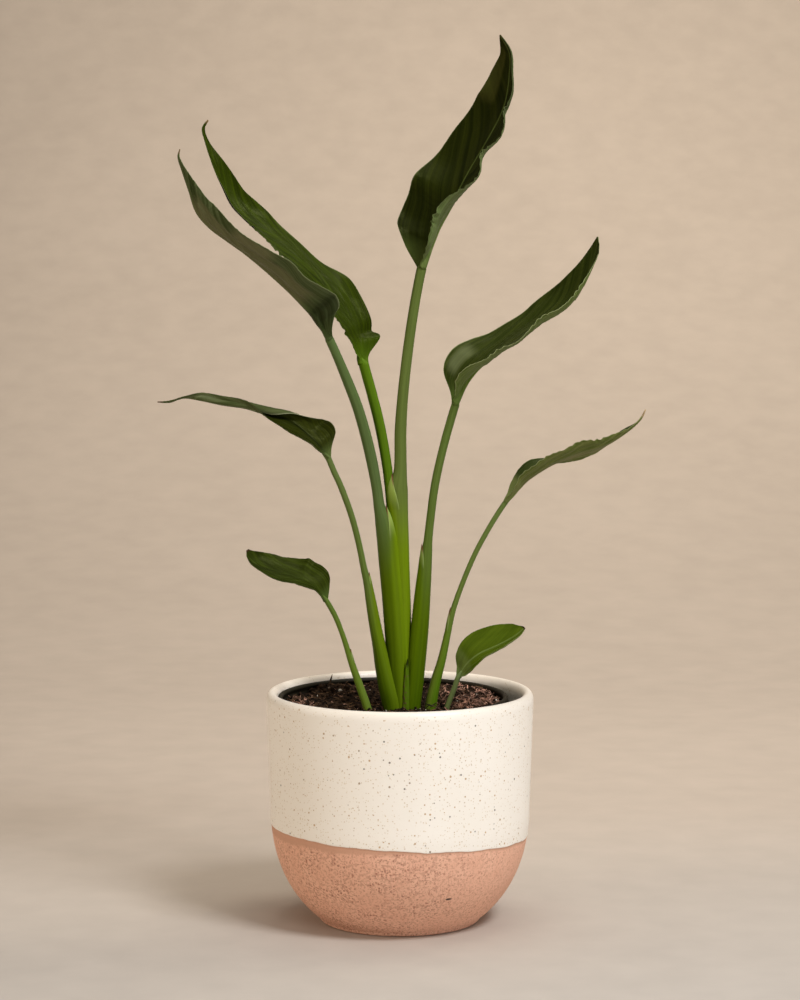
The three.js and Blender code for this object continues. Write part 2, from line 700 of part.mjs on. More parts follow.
// Height of the soil's lumps at a place on its top, from the middle of the nursery pot.
function lumps(x, y) {
  const broad = Math.sin(x / SOIL_LUMP.broad + 0.6) * Math.cos(y / SOIL_LUMP.broad - 0.4);
  const fine = Math.sin((x + 0.5 * y) / SOIL_LUMP.fine) * Math.cos((y - 0.4 * x) / SOIL_LUMP.fine + 1.3);
  const dish = SOIL_EDGE_RISE * (Math.hypot(x, y) / NURSERY_RIM_RADIUS) ** 3;
  let rise = SOIL_LUMP.height * (0.7 * broad + 0.6 * fine) + dish;
  for (const heap of SOIL_HEAPS) {
    const away = Math.hypot(x - heap.x, y - heap.y) / heap.spread;
    rise += heap.height * Math.exp(-(away ** 2));
  }
  return rise;
}

// Soil: a lumpy plug in the nursery pot, with a plain hole for every stalk that stands in it.
function soilGeometry(stalkHoles) {
  const inset = NURSERY_WALL + GAP;
  const edge = NURSERY_RIM_RADIUS - inset;
  const top = SOIL_RINGS.map((share) => [share * edge, SOIL_TOP]);
  const outline = nurseryOutline(inset, SOIL_TOP + SOIL_EDGE_RISE);
  const plug = turned([[0, SOIL_TOP], ...top, ...outline.reverse()], NURSERY_SIDES);
  const position = plug.attributes.position;
  for (let i = 0; i < position.count; i += 1) {
    const radius = Math.hypot(position.getX(i), position.getY(i));
    const onTop = Math.abs(position.getZ(i) - SOIL_TOP) < 0.1;
    if (onTop && radius < edge - 1) {
      position.setZ(i, SOIL_TOP + lumps(position.getX(i), position.getY(i)));
    }
  }
  plug.translate(NURSERY_SHIFT, 0, 0);
  let solid = toSolid(plug);
  for (const hole of stalkHoles) {
    solid = solid.subtract(hole);
  }
  return toGeometry(mainBody(solid));
}

// Bract: a small flat pointed scale, cut back to clear the sheaths behind it.
function bractGeometry(grow) {
  const rings = BRACT.map(([x, y, z, halfWidth, halfDepth]) => {
    const ring = [];
    for (let j = 0; j < 8; j += 1) {
      const angle = (2 * Math.PI * j) / 8;
      const across = (halfWidth + grow) * Math.cos(angle);
      const deep = (halfDepth + grow) * Math.sin(angle);
      ring.push(new THREE.Vector3(x + across, y + deep, z));
    }
    return ring;
  });
  return loft(rings);
}

function mesh(name, geometry, material) {
  const node = new THREE.Mesh(geometry, material);
  node.name = name;
  return node;
}

const plant = new THREE.Group();
plant.add(mesh("ceramic_pot", potGeometry(), glazedStoneware));
plant.add(mesh("nursery_pot", nurseryGeometry(), greyPlastic));

// Stalks, each cut clear of the stalks that it clasps, and their holes in the soil.
const holes = [];
for (const name of CLASPING_ORDER) {
  const leaf = LEAVES.find((one) => one.name === name);
  let stalk = toSolid(stalkGeometry(leaf, 0));
  for (const hole of holes) {
    stalk = stalk.subtract(hole);
  }
  holes.push(toSolid(stalkGeometry(leaf, GAP)));
  plant.add(mesh(`${name}_stalk`, toGeometry(mainBody(stalk)), stalkGreen.clone()));
}
let bract = toSolid(bractGeometry(0));
for (const hole of holes) {
  bract = bract.subtract(hole);
}
plant.add(mesh("dry_bract", toGeometry(mainBody(bract)), dryBract));
holes.push(toSolid(bractGeometry(GAP)));
plant.add(mesh("soil", soilGeometry(holes), pottingMix));

for (const leaf of LEAVES) {
  plant.add(mesh(`${leaf.name}_blade`, bladeGeometry(leaf), bladeGreen.clone()));
}

export default plant;
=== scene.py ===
# %% [markdown]
# # Potted bird of paradise
#
# A young bird of paradise has a fan of leaves. Each one is a paddle of a blade on a long round
# stalk, and each stalk widens below into a sheath that clasps the younger stalks inside it. The plant
# grows in a thin plastic nursery pot, which stands in a stoneware pot dipped in cream glaze. The
# construction model already gives every piece its size and place, so this file only makes finer
# surfaces in the same places and gives them their materials.

# %% Load the construction model
import json
import math
import bpy
import mathutils
import numpy as np
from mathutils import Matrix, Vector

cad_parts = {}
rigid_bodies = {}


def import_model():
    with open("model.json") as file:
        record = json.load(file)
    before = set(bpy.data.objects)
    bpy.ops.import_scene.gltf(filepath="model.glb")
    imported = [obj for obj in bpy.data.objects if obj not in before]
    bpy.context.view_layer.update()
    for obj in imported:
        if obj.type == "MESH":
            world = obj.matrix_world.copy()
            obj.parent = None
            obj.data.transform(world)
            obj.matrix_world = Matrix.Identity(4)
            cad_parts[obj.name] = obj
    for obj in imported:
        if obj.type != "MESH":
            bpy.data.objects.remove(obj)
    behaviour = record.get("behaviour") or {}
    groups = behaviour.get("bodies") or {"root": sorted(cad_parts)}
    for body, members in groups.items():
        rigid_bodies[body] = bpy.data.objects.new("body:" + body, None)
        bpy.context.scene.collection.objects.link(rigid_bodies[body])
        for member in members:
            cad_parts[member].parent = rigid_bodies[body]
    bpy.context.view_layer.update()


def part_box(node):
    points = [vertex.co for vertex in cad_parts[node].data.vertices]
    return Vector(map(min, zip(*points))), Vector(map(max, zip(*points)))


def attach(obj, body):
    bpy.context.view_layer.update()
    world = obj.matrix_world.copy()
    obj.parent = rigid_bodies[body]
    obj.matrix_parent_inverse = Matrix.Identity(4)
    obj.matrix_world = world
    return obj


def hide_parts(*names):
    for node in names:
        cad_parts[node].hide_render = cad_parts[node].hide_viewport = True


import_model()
MM = 0.001

# %% [markdown]
# ## Small helpers for every material
#
# Blender's shaders work in linear light, while a colour read from a screen is in sRGB, so one
# function turns the hex value of an sRGB colour into linear numbers. Another adds a node to a
# material with its settings and links, because a procedural material is mostly that one act repeated,
# and the part of it that fills a node's inputs also fills the shader's. The size of a pattern is
# easiest to judge in millimetres, so one line turns that into the Scale that texture nodes ask for.
# The last starts a material. The Principled shader could be built from simpler shaders, but it
# already keeps energy in balance, so every material here is one Principled shader.


# %% Colour, node and material helpers
def colour(hex_value):
    channels = [int(hex_value[i:i + 2], 16) / 255 for i in (1, 3, 5)]
    linear = [c / 12.92 if c <= 0.04045 else ((c + 0.055) / 1.055) ** 2.4 for c in channels]
    return (*linear, 1.0)


def fill(tree, node, inputs):
    """Fills a node's sockets, given by name or number, with values or with outputs to link."""
    for socket, value in inputs.items():
        if isinstance(value, bpy.types.NodeSocket):
            tree.links.new(value, node.inputs[socket])
        else:
            node.inputs[socket].default_value = value


def add(tree, kind, inputs=None, **settings):
    """Adds a node with its settings, its values and its links."""
    node = tree.nodes.new("ShaderNode" + kind)
    for name, value in settings.items():
        setattr(node, name, value)
    fill(tree, node, inputs or {})
    return node


def every(size):
    """The Scale of a pattern whose features lie this many millimetres apart."""
    return 1 / (size * MM)


def start_material(name, roughness, ior):
    material = bpy.data.materials.new(name)
    material.use_nodes = True
    tree = material.node_tree
    shader = tree.nodes["Principled BSDF"]
    fill(tree, shader, {"Roughness": roughness, "IOR": ior})
    place = add(tree, "TexCoord").outputs["Object"]
    return material, tree, shader, place


print("cream glaze in linear light:", [round(c, 3) for c in colour("#EFE3CE")])

# %% [markdown]
# ## Helpers for shapes
#
# All the shapes here are built as numbers first. A leaf or a stalk follows a smooth curve through a
# few chosen points. A Bezier curve object could give that, but then the blade's width, fold and waves
# could not follow it exactly, so the curve is worked out here: a Catmull-Rom curve, which passes
# through each of its points. Closed bodies come from rings of points, or from an upper and a lower
# sheet joined along their rim.


# %% Curves, smooth steps and slow random waves
def unit(vectors):
    return vectors / np.linalg.norm(vectors, axis=-1, keepdims=True)


def curve_at(rows, places):
    """Points on the smooth curve through rows, at places from 0 to 1."""
    rows = np.asarray(rows, float)
    padded = np.vstack([2 * rows[0] - rows[1], rows, 2 * rows[-1] - rows[-2]])
    index = np.clip(places, 0, 1) * (len(rows) - 1)
    first = np.minimum(index.astype(int), len(rows) - 2)
    t = (index - first)[:, None]
    before, start, end, after = (padded[first + k] for k in range(4))
    leave, arrive = (end - before) / 2, (after - start) / 2
    cubic = 2 * start - 2 * end + leave + arrive
    square = 3 * end - 3 * start - 2 * leave - arrive
    return cubic * t**3 + square * t**2 + leave * t + start


def step(low, high, value):
    """0 below low, 1 above high, and a smooth ramp between."""
    t = np.clip((value - low) / (high - low), 0, 1)
    return t * t * (3 - 2 * t)


def waves(value, length, seed, count=5):
    """Smooth random waves between about -1 and 1, with the given typical length."""
    draw = np.random.default_rng(seed)
    total = 0
    for _ in range(count):
        own = length * draw.uniform(0.6, 1.7)
        total = total + np.sin(2 * np.pi * (value / own + draw.random()))
    return total / count**0.5


def waves_2d(x, y, length, seed, count=7):
    """Smooth random lumps over a plane."""
    draw = np.random.default_rng(seed)
    total = 0
    for _ in range(count):
        turn = draw.uniform(0, np.pi)
        own = length * draw.uniform(0.6, 1.6)
        crossing = x * np.cos(turn) + y * np.sin(turn)
        total = total + np.sin(2 * np.pi * (crossing / own + draw.random()))
    return total / count**0.5


print("a curve through 0, 1, 4 at its middle:", curve_at([[0], [1], [4]], np.array([0.5]))[0])


# %% Closed bodies, and the call that makes a piece
def ring_body(rings):
    """Points and faces of a closed body through rings of equally many points, with flat ends."""
    count, sides = rings.shape[:2]
    first = np.arange(count - 1)[:, None] * sides
    here, there = np.arange(sides), (np.arange(sides) + 1) % sides
    quads = np.stack([first + here, first + there, first + sides + there, first + sides + here], -1)
    last = (count - 1) * sides
    ends = [list(range(sides))[::-1], list(range(last, last + sides))]
    return rings.reshape(-1, 3), quads.reshape(-1, 4).tolist() + ends


def shell_body(upper, lower):
    """Points and faces of a thin closed body between two sheets with the same rows and columns."""
    rows, columns = upper.shape[:2]
    at = np.arange(rows * columns).reshape(rows, columns)
    under = at + rows * columns
    top = np.stack([at[:-1, :-1], at[:-1, 1:], at[1:, 1:], at[1:, :-1]], -1).reshape(-1, 4)
    bottom = np.stack([under[:-1, :-1], under[1:, :-1], under[1:, 1:], under[:-1, 1:]], -1)
    bottom = bottom.reshape(-1, 4)
    loop = np.concatenate([at[0, :], at[1:, -1], at[-1, -2::-1], at[-2:0:-1, 0]])
    below = loop + rows * columns
    rim = np.stack([loop, below, np.roll(below, -1), np.roll(loop, -1)], -1)
    points = np.concatenate([upper.reshape(-1, 3), lower.reshape(-1, 3)])
    return points, np.concatenate([top, bottom, rim]).tolist()


def make_piece(name, body, materials, stands_for=None, values=None, material_of=None):
    """Makes a piece from points in millimetres and faces, with values at its points for materials."""
    points, faces = body
    mesh = bpy.data.meshes.new(name)
    mesh.from_pydata((np.asarray(points) * MM).tolist(), [], faces)
    for material in materials:
        mesh.materials.append(material)
    if material_of is not None:
        mesh.polygons.foreach_set("material_index", np.asarray(material_of, np.int32))
    mesh.shade_smooth()
    for key, numbers in (values or {}).items():
        attribute = mesh.attributes.new(key, "FLOAT", "POINT")
        attribute.data.foreach_set("value", np.ravel(numbers).astype(float))
    mesh.calc_loop_triangles()
    corners = np.zeros(len(mesh.loop_triangles) * 3, np.int32)
    mesh.loop_triangles.foreach_get("vertices", corners)
    a, b, c = np.asarray(points)[corners.reshape(-1, 3)].transpose(1, 0, 2)
    if np.einsum("ij,ij->i", a, np.cross(b, c)).sum() < 0:
        mesh.flip_normals()
    piece = bpy.data.objects.new(name, mesh)
    bpy.context.scene.collection.objects.link(piece)
    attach(piece, "root")
    if stands_for:
        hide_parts(stands_for)
    print(f"{name}: {len(mesh.loop_triangles)} triangles")
    return piece


# %% [markdown]
# ## Camera, floor and light
#
# The photograph was taken from a little over two metres away and about chest height for the plant,
# with a long lens, so the verticals stay nearly parallel. A camera is placed the same way. The floor
# and the wall behind are one sheet of pale paper, curved where they meet, as in a studio, so that no
# line shows behind the plant. The wall is far enough back that a camera behind the plant has room.
# One soft lamp, high in front and to the right, gives the pot its shaded left side and its soft
# shadow on the floor. A matt board on the left, a large lamp low in front, a cloth overhead and a dim
# even sky fill the shadows, and two lamps above the picture light the floor behind and the wall.

# %% Camera
IMAGE_SIDE = 1000
FOCAL_PIXELS = 3020
SENSOR = 36.0
CAMERA_DISTANCE = 2200
CAMERA_HEIGHT = 535
CAMERA_PITCH = 5.79

lens = bpy.data.cameras.new("camera")
lens.sensor_width = SENSOR
lens.lens = FOCAL_PIXELS * SENSOR / IMAGE_SIDE
camera = bpy.data.objects.new("camera", lens)
camera.location = (0, -CAMERA_DISTANCE * MM, CAMERA_HEIGHT * MM)
camera.rotation_euler = (math.radians(90 - CAMERA_PITCH), 0, 0)
bpy.context.scene.collection.objects.link(camera)
bpy.context.scene.camera = camera
bpy.context.scene.view_settings.view_transform = "Standard"
print("lens in mm:", round(lens.lens, 1))

# %% Backdrop: a floor that curves up into a wall
FLOOR_FRONT, WALL_BACK, COVE = -2600, 4100, 3100
BACKDROP_HALF_WIDTH, BACKDROP_HEIGHT = 3000, 3200
# How far apart the paper's slow changes of tone and its brush marks lie, in mm. Real paper fibre is
# too fine to show, so the brush marks are drawn this coarse.
PAPER_DRIFT, PAPER_BRUSH = 333, 41.7
# Depths in mm between which the paper's painted light, a paler tone on the front of the floor, turns to its
# own back tone.
FRONT_TONE_ENDS, BACK_TONE_BEGINS = -300, 400

paper, tree, shader, place = start_material("pale_matt_paper", roughness=0.9, ior=1.45)
tone = add(tree, "TexNoise", {"Vector": place, "Scale": every(PAPER_DRIFT), "Detail": 3.0}).outputs["Fac"]
blend = add(tree, "MixRGB", {0: tone, 1: colour("#ADA093"), 2: colour("#B3A699")})
backward = add(tree, "SeparateXYZ", {0: place}).outputs[1]
# Painted light: the front of the floor is mixed towards a paler tone.
front_light_ramp = {0: backward, 1: FRONT_TONE_ENDS * MM, 2: BACK_TONE_BEGINS * MM, 3: 1.0, 4: 0.0}
painted_front_light = add(tree, "MapRange", front_light_ramp).outputs[0]
blend = add(tree, "MixRGB", {0: painted_front_light, 1: blend.outputs[0], 2: colour("#BFB6AB")})
brushed = add(tree, "TexNoise", {"Vector": place, "Scale": every(PAPER_BRUSH), "Detail": 8.0}).outputs["Fac"]
cloudy = add(tree, "MapRange", {0: brushed, 1: 0.3, 2: 0.7, 3: 0.965, 4: 1.035}).outputs[0]
blend = add(tree, "VectorMath", {0: blend.outputs[0], 3: cloudy}, operation="SCALE")
fill(tree, shader, {"Base Color": blend.outputs[0]})

turns = np.linspace(0, np.pi / 2, 48)
path = [[FLOOR_FRONT, 0]]
path += [[WALL_BACK - COVE + COVE * math.sin(t), COVE - COVE * math.cos(t)] for t in turns]
path.append([WALL_BACK, BACKDROP_HEIGHT])
points = [(x * MM, y * MM, z * MM) for y, z in path for x in (-BACKDROP_HALF_WIDTH, BACKDROP_HALF_WIDTH)]
faces = [(2 * i, 2 * i + 1, 2 * i + 3, 2 * i + 2) for i in range(len(path) - 1)]
sheet = bpy.data.meshes.new("backdrop")
sheet.from_pydata(points, [], faces)
sheet.materials.append(paper)
sheet.shade_smooth()
backdrop = bpy.data.objects.new("backdrop", sheet)
bpy.context.scene.collection.objects.link(backdrop)
print("backdrop faces:", len(faces))

# %% Lamps and sky
def soft_lamp(name, location, target, size, power, tint="#FFFFFF", in_gloss=True):
    """A square lamp. A matt board lights like one, but is too dull to show as a highlight."""
    data = bpy.data.lights.new(name, "AREA")
    data.shape = "SQUARE"
    data.size = size * MM
    data.energy = power
    data.color = colour(tint)[:3]
    lamp = bpy.data.objects.new(name, data)
    lamp.location = [c * MM for c in location]
    towards = mathutils.Vector(location) - mathutils.Vector(target)
    lamp.rotation_euler = towards.to_track_quat("Z", "Y").to_euler()
    lamp.visible_glossy = in_gloss
    bpy.context.scene.collection.objects.link(lamp)


soft_lamp("key", (820, -960, 1680), (0, 0, 250), size=520, power=31, tint="#F8FAFF")
soft_lamp(
    "left_board", (-1900, -700, 600), (0, 0, 300), size=1500, power=19, tint="#FFEEDA", in_gloss=False)
soft_lamp("front_fill", (1200, -1900, 520), (0, 0, 150), size=900, power=14)
soft_lamp("top_scrim", (-300, -300, 2500), (0, 0, 0), size=1600, power=8)
soft_lamp("rear_soft", (250, 300, 1300), (-20, 1900, 470), size=900, power=20, tint="#FFF6E8")
soft_lamp("wall_wash", (350, 1900, 1900), (180, 3300, 600), size=1200, power=26, tint="#FFF6E8")

world = bpy.data.worlds.new("studio_fill")
world.use_nodes = True
sky = world.node_tree.nodes["Background"]
fill(world.node_tree, sky, {"Strength": 0.15, "Color": colour("#FFF4E4")})
bpy.context.scene.world = world

# %% [markdown]
# ## The stoneware pot
#
# A pot like this is turned on a wheel from speckled pink stoneware, dried, and dipped head first in a
# cream glaze, so the glaze ends in a line that is level only if the potter held the pot straight. Here
# it slopes a little. The pot could be one lathed outline with a Screw modifier, but then no ring of
# its mesh would follow the sloping glaze line. Instead each ring is placed by formula: the rings near
# the line tilt with it, and above it the wall is thicker by the glaze, with a small bead at its edge.

# %% Pot outline
POT_RADIUS, _, POT_HEIGHT = np.array(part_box("ceramic_pot")[1]) / MM
POT_WALL = 7.5
LIP_HEIGHT = 6.0
BOWL_TOP, BOWL_RADIUS, BOWL_DEPTH, BOWL_POWER = 85.0, 95.5, 100.4, 2.2
FOOT_RADIUS, FOOT_HEIGHT = 57.0, 3.0
# The pot stands on a narrow ring, and the foot inside it is hollowed by this much.
FOOT_RING_INNER, FOOT_RING_OUTER, FOOT_HOLLOW = FOOT_RADIUS - 2.5, FOOT_RADIUS - 1.2, 0.4
POT_FLOOR, FLOOR_RADIUS = 10.0, 30.0
POT_SIDES = 256
GLAZE_LINE, GLAZE_TILT_X, GLAZE_TILT_Y = 68.3, -0.048, -0.024
GLAZE_THICKNESS = 0.25
# The beaded edge of the glaze: height above its line in mm, and share of the glaze's thickness.
GLAZE_EDGE = [(0.05, 0.4), (0.25, 0.9), (0.6, 1.15), (1.2, 1.15), (2.2, 1.0)]
THROWING_DEPTH, THROWING_SPACING = 0.018, 9.0


def bowl_radius(height):
    fall = np.clip((BOWL_TOP - height) / BOWL_DEPTH, 0, 1) ** BOWL_POWER
    return BOWL_RADIUS * (1 - fall) ** (1 / BOWL_POWER)


def outer_radius(height):
    wall_top = POT_HEIGHT - LIP_HEIGHT
    lean = BOWL_RADIUS + (POT_RADIUS - BOWL_RADIUS) * (height - BOWL_TOP) / (wall_top - BOWL_TOP)
    return np.where(height < BOWL_TOP, bowl_radius(height), lean)


def glaze_line(x, y, angle):
    """Height of the glaze's edge round the pot, with the small waver of a dipped edge."""
    waver = 0.25 * waves(angle, 0.5, 11) + 0.12 * waves(angle, 0.12, 12)
    return GLAZE_LINE + GLAZE_TILT_X * x + GLAZE_TILT_Y * y + waver


print("pot radius and height in mm:", round(POT_RADIUS, 1), round(POT_HEIGHT, 1))

# %% Pot rings
angles = np.arange(POT_SIDES) * 2 * np.pi / POT_SIDES
across, deep = np.cos(angles), np.sin(angles)
edge_line = glaze_line(BOWL_RADIUS * across, BOWL_RADIUS * deep, angles)
pot_rings, on_glaze, below_line = [], [], []


def pot_ring(radius, height, glazed):
    radius = np.broadcast_to(radius, angles.shape)
    height = np.broadcast_to(height, angles.shape)
    pot_rings.append(np.stack([radius * across, radius * deep, height], -1))
    below_line.append(edge_line - height)
    on_glaze.append(glazed)


def throwing(height):
    """Faint rings that the potter's fingers leave."""
    return THROWING_DEPTH * waves(height, THROWING_SPACING, 21)


pot_ring(FLOOR_RADIUS, FOOT_HOLLOW, 0)
pot_ring(FOOT_RING_INNER - 1.5, FOOT_HOLLOW, 0)
pot_ring(FOOT_RING_INNER, 0.0, 0)
for turn in np.linspace(0, np.pi / 2, 5):
    rounding = bowl_radius(FOOT_HEIGHT) - FOOT_RING_OUTER
    pot_ring(FOOT_RING_OUTER + rounding * math.sin(turn), FOOT_HEIGHT * (1 - math.cos(turn)), 0)
for share in np.linspace(0, 1, 64)[1:]:
    height = FOOT_HEIGHT + (edge_line - FOOT_HEIGHT) * share**1.3
    pot_ring(bowl_radius(height) + throwing(height), height, 0)
for rise, proud in GLAZE_EDGE:
    height = edge_line + rise
    pot_ring(bowl_radius(height) + throwing(height) + GLAZE_THICKNESS * proud, height, 1)
wall_top = POT_HEIGHT - LIP_HEIGHT
for share in np.linspace(0, 1, 74)[1:]:
    height = (edge_line + GLAZE_EDGE[-1][0]) * (1 - share) + wall_top * share
    pot_ring(outer_radius(height) + throwing(height) + GLAZE_THICKNESS, height, 1)
lip_middle = POT_RADIUS - POT_WALL / 2
for turn in np.linspace(0, np.pi, 18)[1:-1]:
    reach = POT_WALL / 2 + GLAZE_THICKNESS
    pot_ring(lip_middle + reach * math.cos(turn), wall_top + LIP_HEIGHT * math.sin(turn), 1)
for share in np.linspace(0, 1, 40):
    height = wall_top + (BOWL_TOP - wall_top) * share
    pot_ring(outer_radius(height) - POT_WALL - GLAZE_THICKNESS, height, 1)
for share in np.linspace(0, 1, 24)[1:]:
    height = BOWL_TOP + (POT_FLOOR - BOWL_TOP) * share**0.8
    pot_ring(bowl_radius(height - 2) - POT_WALL - 4 * step(0.9, 1, share), height, 1)
pot_ring(FLOOR_RADIUS, POT_FLOOR, 1)
print("pot rings:", len(pot_rings))

# %% [markdown]
# ## Glaze and bare stoneware
#
# The glaze is a satin white with iron in the clay below it. In the kiln the iron grains melt through
# as specks: most are pale tan and soft, and a few are dark brown and sharp. A picture texture would
# give them, but a Voronoi pattern does it without one: each cell has one random point, and where the
# surface passes close to that point there is a speck, whose size and colour come from the cell's own
# random number. Two layers of cells, 1.7 and 3.6 mm apart, give many faint specks and a few clear
# ones. The lip and the inside of the pot are painted a little darker, as painted shade.

# %% Satin glaze
# Each layer: spacing and largest radius in mm, share of cells with a speck, strength, two colours.
GLAZE_SPECKS = [
    (1.7, 0.58, 0.85, 0.6, "#A88B5E", "#CDB68E"), (3.6, 0.85, 0.62, 0.85, "#3E3024", "#B8935F")]
# How soft a speck's rim is, as a share of its radius.
SPECK_SOFTNESS = 0.12
# How far apart the faint clouds in the glaze and the dimples of its skin lie, in mm.
GLAZE_CLOUDS, GLAZE_DIMPLES = 55.6, 3.85
# Painted shade: the glaze is painted darker between these depths below the pot's top, and over these
# distances inside the lip's edge.
LIP_SHADE_DEPTHS, LIP_INSIDE = (6, 1), (1.5, 4.5)
# The painted shade inside the pot reaches down to this height.
INNER_SHADE_DOWN_TO = BOWL_TOP + 40


def specks(tree, place, spacing, radius, share):
    """A mask of round specks at about the given spacing, and each speck's random colour."""
    cells = add(tree, "TexVoronoi", {"Vector": place, "Scale": every(spacing), "Randomness": 1.0})
    parts = add(tree, "SeparateColor", {0: cells.outputs["Color"]})
    size = add(tree, "MapRange", {0: parts.outputs[0], 1: 1 - share, 2: 1.0, 3: 0.0, 4: radius / spacing})
    inside = add(tree, "Math", {0: size.outputs[0], 1: cells.outputs["Distance"]}, operation="SUBTRACT")
    soft = SPECK_SOFTNESS * radius / spacing
    mask = add(tree, "MapRange", {0: inside.outputs[0], 1: -soft, 2: soft, 3: 0.0, 4: 1.0})
    return mask.outputs[0], parts.outputs[1]


glaze, tree, shader, place = start_material("satin_tin_glaze", roughness=0.36, ior=1.52)
cloud = add(tree, "TexNoise", {"Vector": place, "Scale": every(GLAZE_CLOUDS), "Detail": 3.0}).outputs["Fac"]
base = add(tree, "MixRGB", {0: cloud, 1: colour("#F0E8DB"), 2: colour("#F6F0E6")}).outputs[0]
for spacing, radius, share, strength, dark, pale in GLAZE_SPECKS:
    mask, draw = specks(tree, place, spacing, radius, share)
    paler = add(tree, "MapRange", {0: draw, 1: 0.08, 2: 0.42, 3: 0.0, 4: 1.0}).outputs[0]
    iron = add(tree, "MixRGB", {0: paler, 1: colour(dark), 2: colour(pale)}).outputs[0]
    amount = add(tree, "Math", {0: mask, 1: strength}, operation="MULTIPLY").outputs[0]
    base = add(tree, "MixRGB", {0: amount, 1: base, 2: iron}).outputs[0]
sideways, backward, rising = add(tree, "SeparateXYZ", {0: place}).outputs
outward = add(tree, "CombineXYZ", {0: sideways, 1: backward}).outputs[0]
outward = add(tree, "VectorMath", {0: outward}, operation="LENGTH").outputs["Value"]
# Painted shade: the top of the lip and the inside wall are darkened towards these two tones.
lip_shade_from, lip_shade_to = [(POT_HEIGHT - depth) * MM for depth in LIP_SHADE_DEPTHS]
painted_lip_shade = add(tree, "MapRange", {0: rising, 1: lip_shade_from, 2: lip_shade_to, 3: 0.0, 4: 0.7}).outputs[0]
base = add(tree, "MixRGB", {0: painted_lip_shade, 1: base, 2: colour("#E4D9C9")}).outputs[0]
inner_shade_from, inner_shade_to = [(POT_RADIUS - POT_WALL + shift) * MM for shift in LIP_INSIDE]
inside = add(tree, "MapRange", {0: outward, 1: inner_shade_from, 2: inner_shade_to, 3: 0.18, 4: 0.0}).outputs[0]
above = add(tree, "Math", {0: rising, 1: INNER_SHADE_DOWN_TO * MM}, operation="GREATER_THAN").outputs[0]
inside = add(tree, "Math", {0: inside, 1: above}, operation="MULTIPLY").outputs[0]
base = add(tree, "MixRGB", {0: inside, 1: base, 2: colour("#B49A7C")}).outputs[0]
peel = add(tree, "TexNoise", {"Vector": place, "Scale": every(GLAZE_DIMPLES), "Detail": 2.0}).outputs["Fac"]
bump = add(tree, "Bump", {"Height": peel, "Strength": 0.12, "Distance": 0.4 * MM}).outputs[0]
shine = add(tree, "MapRange", {0: cloud, 1: 0.3, 2: 0.7, 3: 0.32, 4: 0.42}).outputs[0]
fill(tree, shader, {"Base Color": base, "Roughness": shine, "Normal": bump})
print("glaze nodes:", len(tree.nodes))

# %% [markdown]
# Below the glaze the clay is bare. Fired stoneware is dry and matt, its sand and iron show as fine
# dark grit, and a hand wiped a smooth band clean just under the glaze line. The grit is two layers
# of specks over a fine mottling, and a slow noise makes it gather in patches. On the right it is
# thinner, which paints the clay there lighter, as painted light. The same grit sinks into the surface as
# tiny pits.

# %% Bare stoneware
# The one dark chip low on the front: its middle and its half sizes in mm.
CHIP = (34.8, -74.0, 32.3)
CHIP_HALF = (2.3, 30.0, 0.75)
# How far apart the patches of grit and its fine mottling lie, in mm. Real grit goes on down to
# 0.1 mm, which is too fine to show, so the finest layer is drawn this coarse.
CLAY_PATCHES, CLAY_MOTTLE = 14, 1.9
# Each layer of grit: spacing and largest radius in mm, share of cells with a grain, strength.
CLAY_GRIT = [(1.4, 0.66, 0.95, 0.55), (2.1, 0.9, 0.8, 0.7)]
# How far to the right of the middle the grit has thinned out, in mm, painting that side lighter.
GRIT_THINS_BY = 90

clay, tree, shader, place = start_material("bare_speckled_stoneware", roughness=0.82, ior=1.5)
patch = add(tree, "TexNoise", {"Vector": place, "Scale": every(CLAY_PATCHES), "Detail": 2.0}).outputs["Fac"]
band = add(tree, "Attribute", attribute_name="band").outputs["Fac"]
warm = add(tree, "MixRGB", {0: patch, 1: colour("#E0A98D"), 2: colour("#EBBCA0")}).outputs[0]
gritty = add(tree, "MixRGB", {0: band, 1: warm, 2: colour("#CC9B80")}).outputs[0]
bare = add(tree, "MapRange", {0: band, 1: 0.0, 2: 1.0, 3: 1.0, 4: 0.12}).outputs[0]
dense = add(tree, "MapRange", {0: patch, 1: 0.35, 2: 0.65, 3: 0.55, 4: 1.0}).outputs[0]
sideways = add(tree, "SeparateXYZ", {0: place}).outputs[0]
# Painted light: fewer grains towards the right make that side of the clay lighter.
painted_light_right = add(tree, "MapRange", {0: sideways, 1: 0.0, 2: GRIT_THINS_BY * MM, 3: 1.0, 4: 0.45}).outputs[0]
covered = add(tree, "Math", {0: bare, 1: dense}, operation="MULTIPLY").outputs[0]
covered = add(tree, "Math", {0: covered, 1: painted_light_right}, operation="MULTIPLY").outputs[0]
mottle = add(tree, "TexNoise", {"Vector": place, "Scale": every(CLAY_MOTTLE), "Detail": 2.0}).outputs["Fac"]
mottled = add(tree, "MapRange", {0: mottle, 1: 0.47, 2: 0.60, 3: 0.0, 4: 0.48}).outputs[0]
mottled = add(tree, "Math", {0: mottled, 1: covered}, operation="MULTIPLY").outputs[0]
gritty = add(tree, "MixRGB", {0: mottled, 1: gritty, 2: colour("#A06A54")}).outputs[0]
grains = None
for spacing, radius, share, strength in CLAY_GRIT:
    mask, draw = specks(tree, place, spacing, radius, share)
    amount = add(tree, "Math", {0: mask, 1: strength}, operation="MULTIPLY").outputs[0]
    amount = add(tree, "Math", {0: amount, 1: covered}, operation="MULTIPLY").outputs[0]
    brown = add(tree, "MixRGB", {0: draw, 1: colour("#7C4030"), 2: colour("#A8644C")}).outputs[0]
    gritty = add(tree, "MixRGB", {0: amount, 1: gritty, 2: brown}).outputs[0]
    if grains is None:
        grains = amount
    else:
        grains = add(tree, "Math", {0: grains, 1: amount}, operation="MAXIMUM").outputs[0]
offset = add(tree, "VectorMath", {0: place, 1: [c * MM for c in CHIP]}, operation="SUBTRACT").outputs[0]
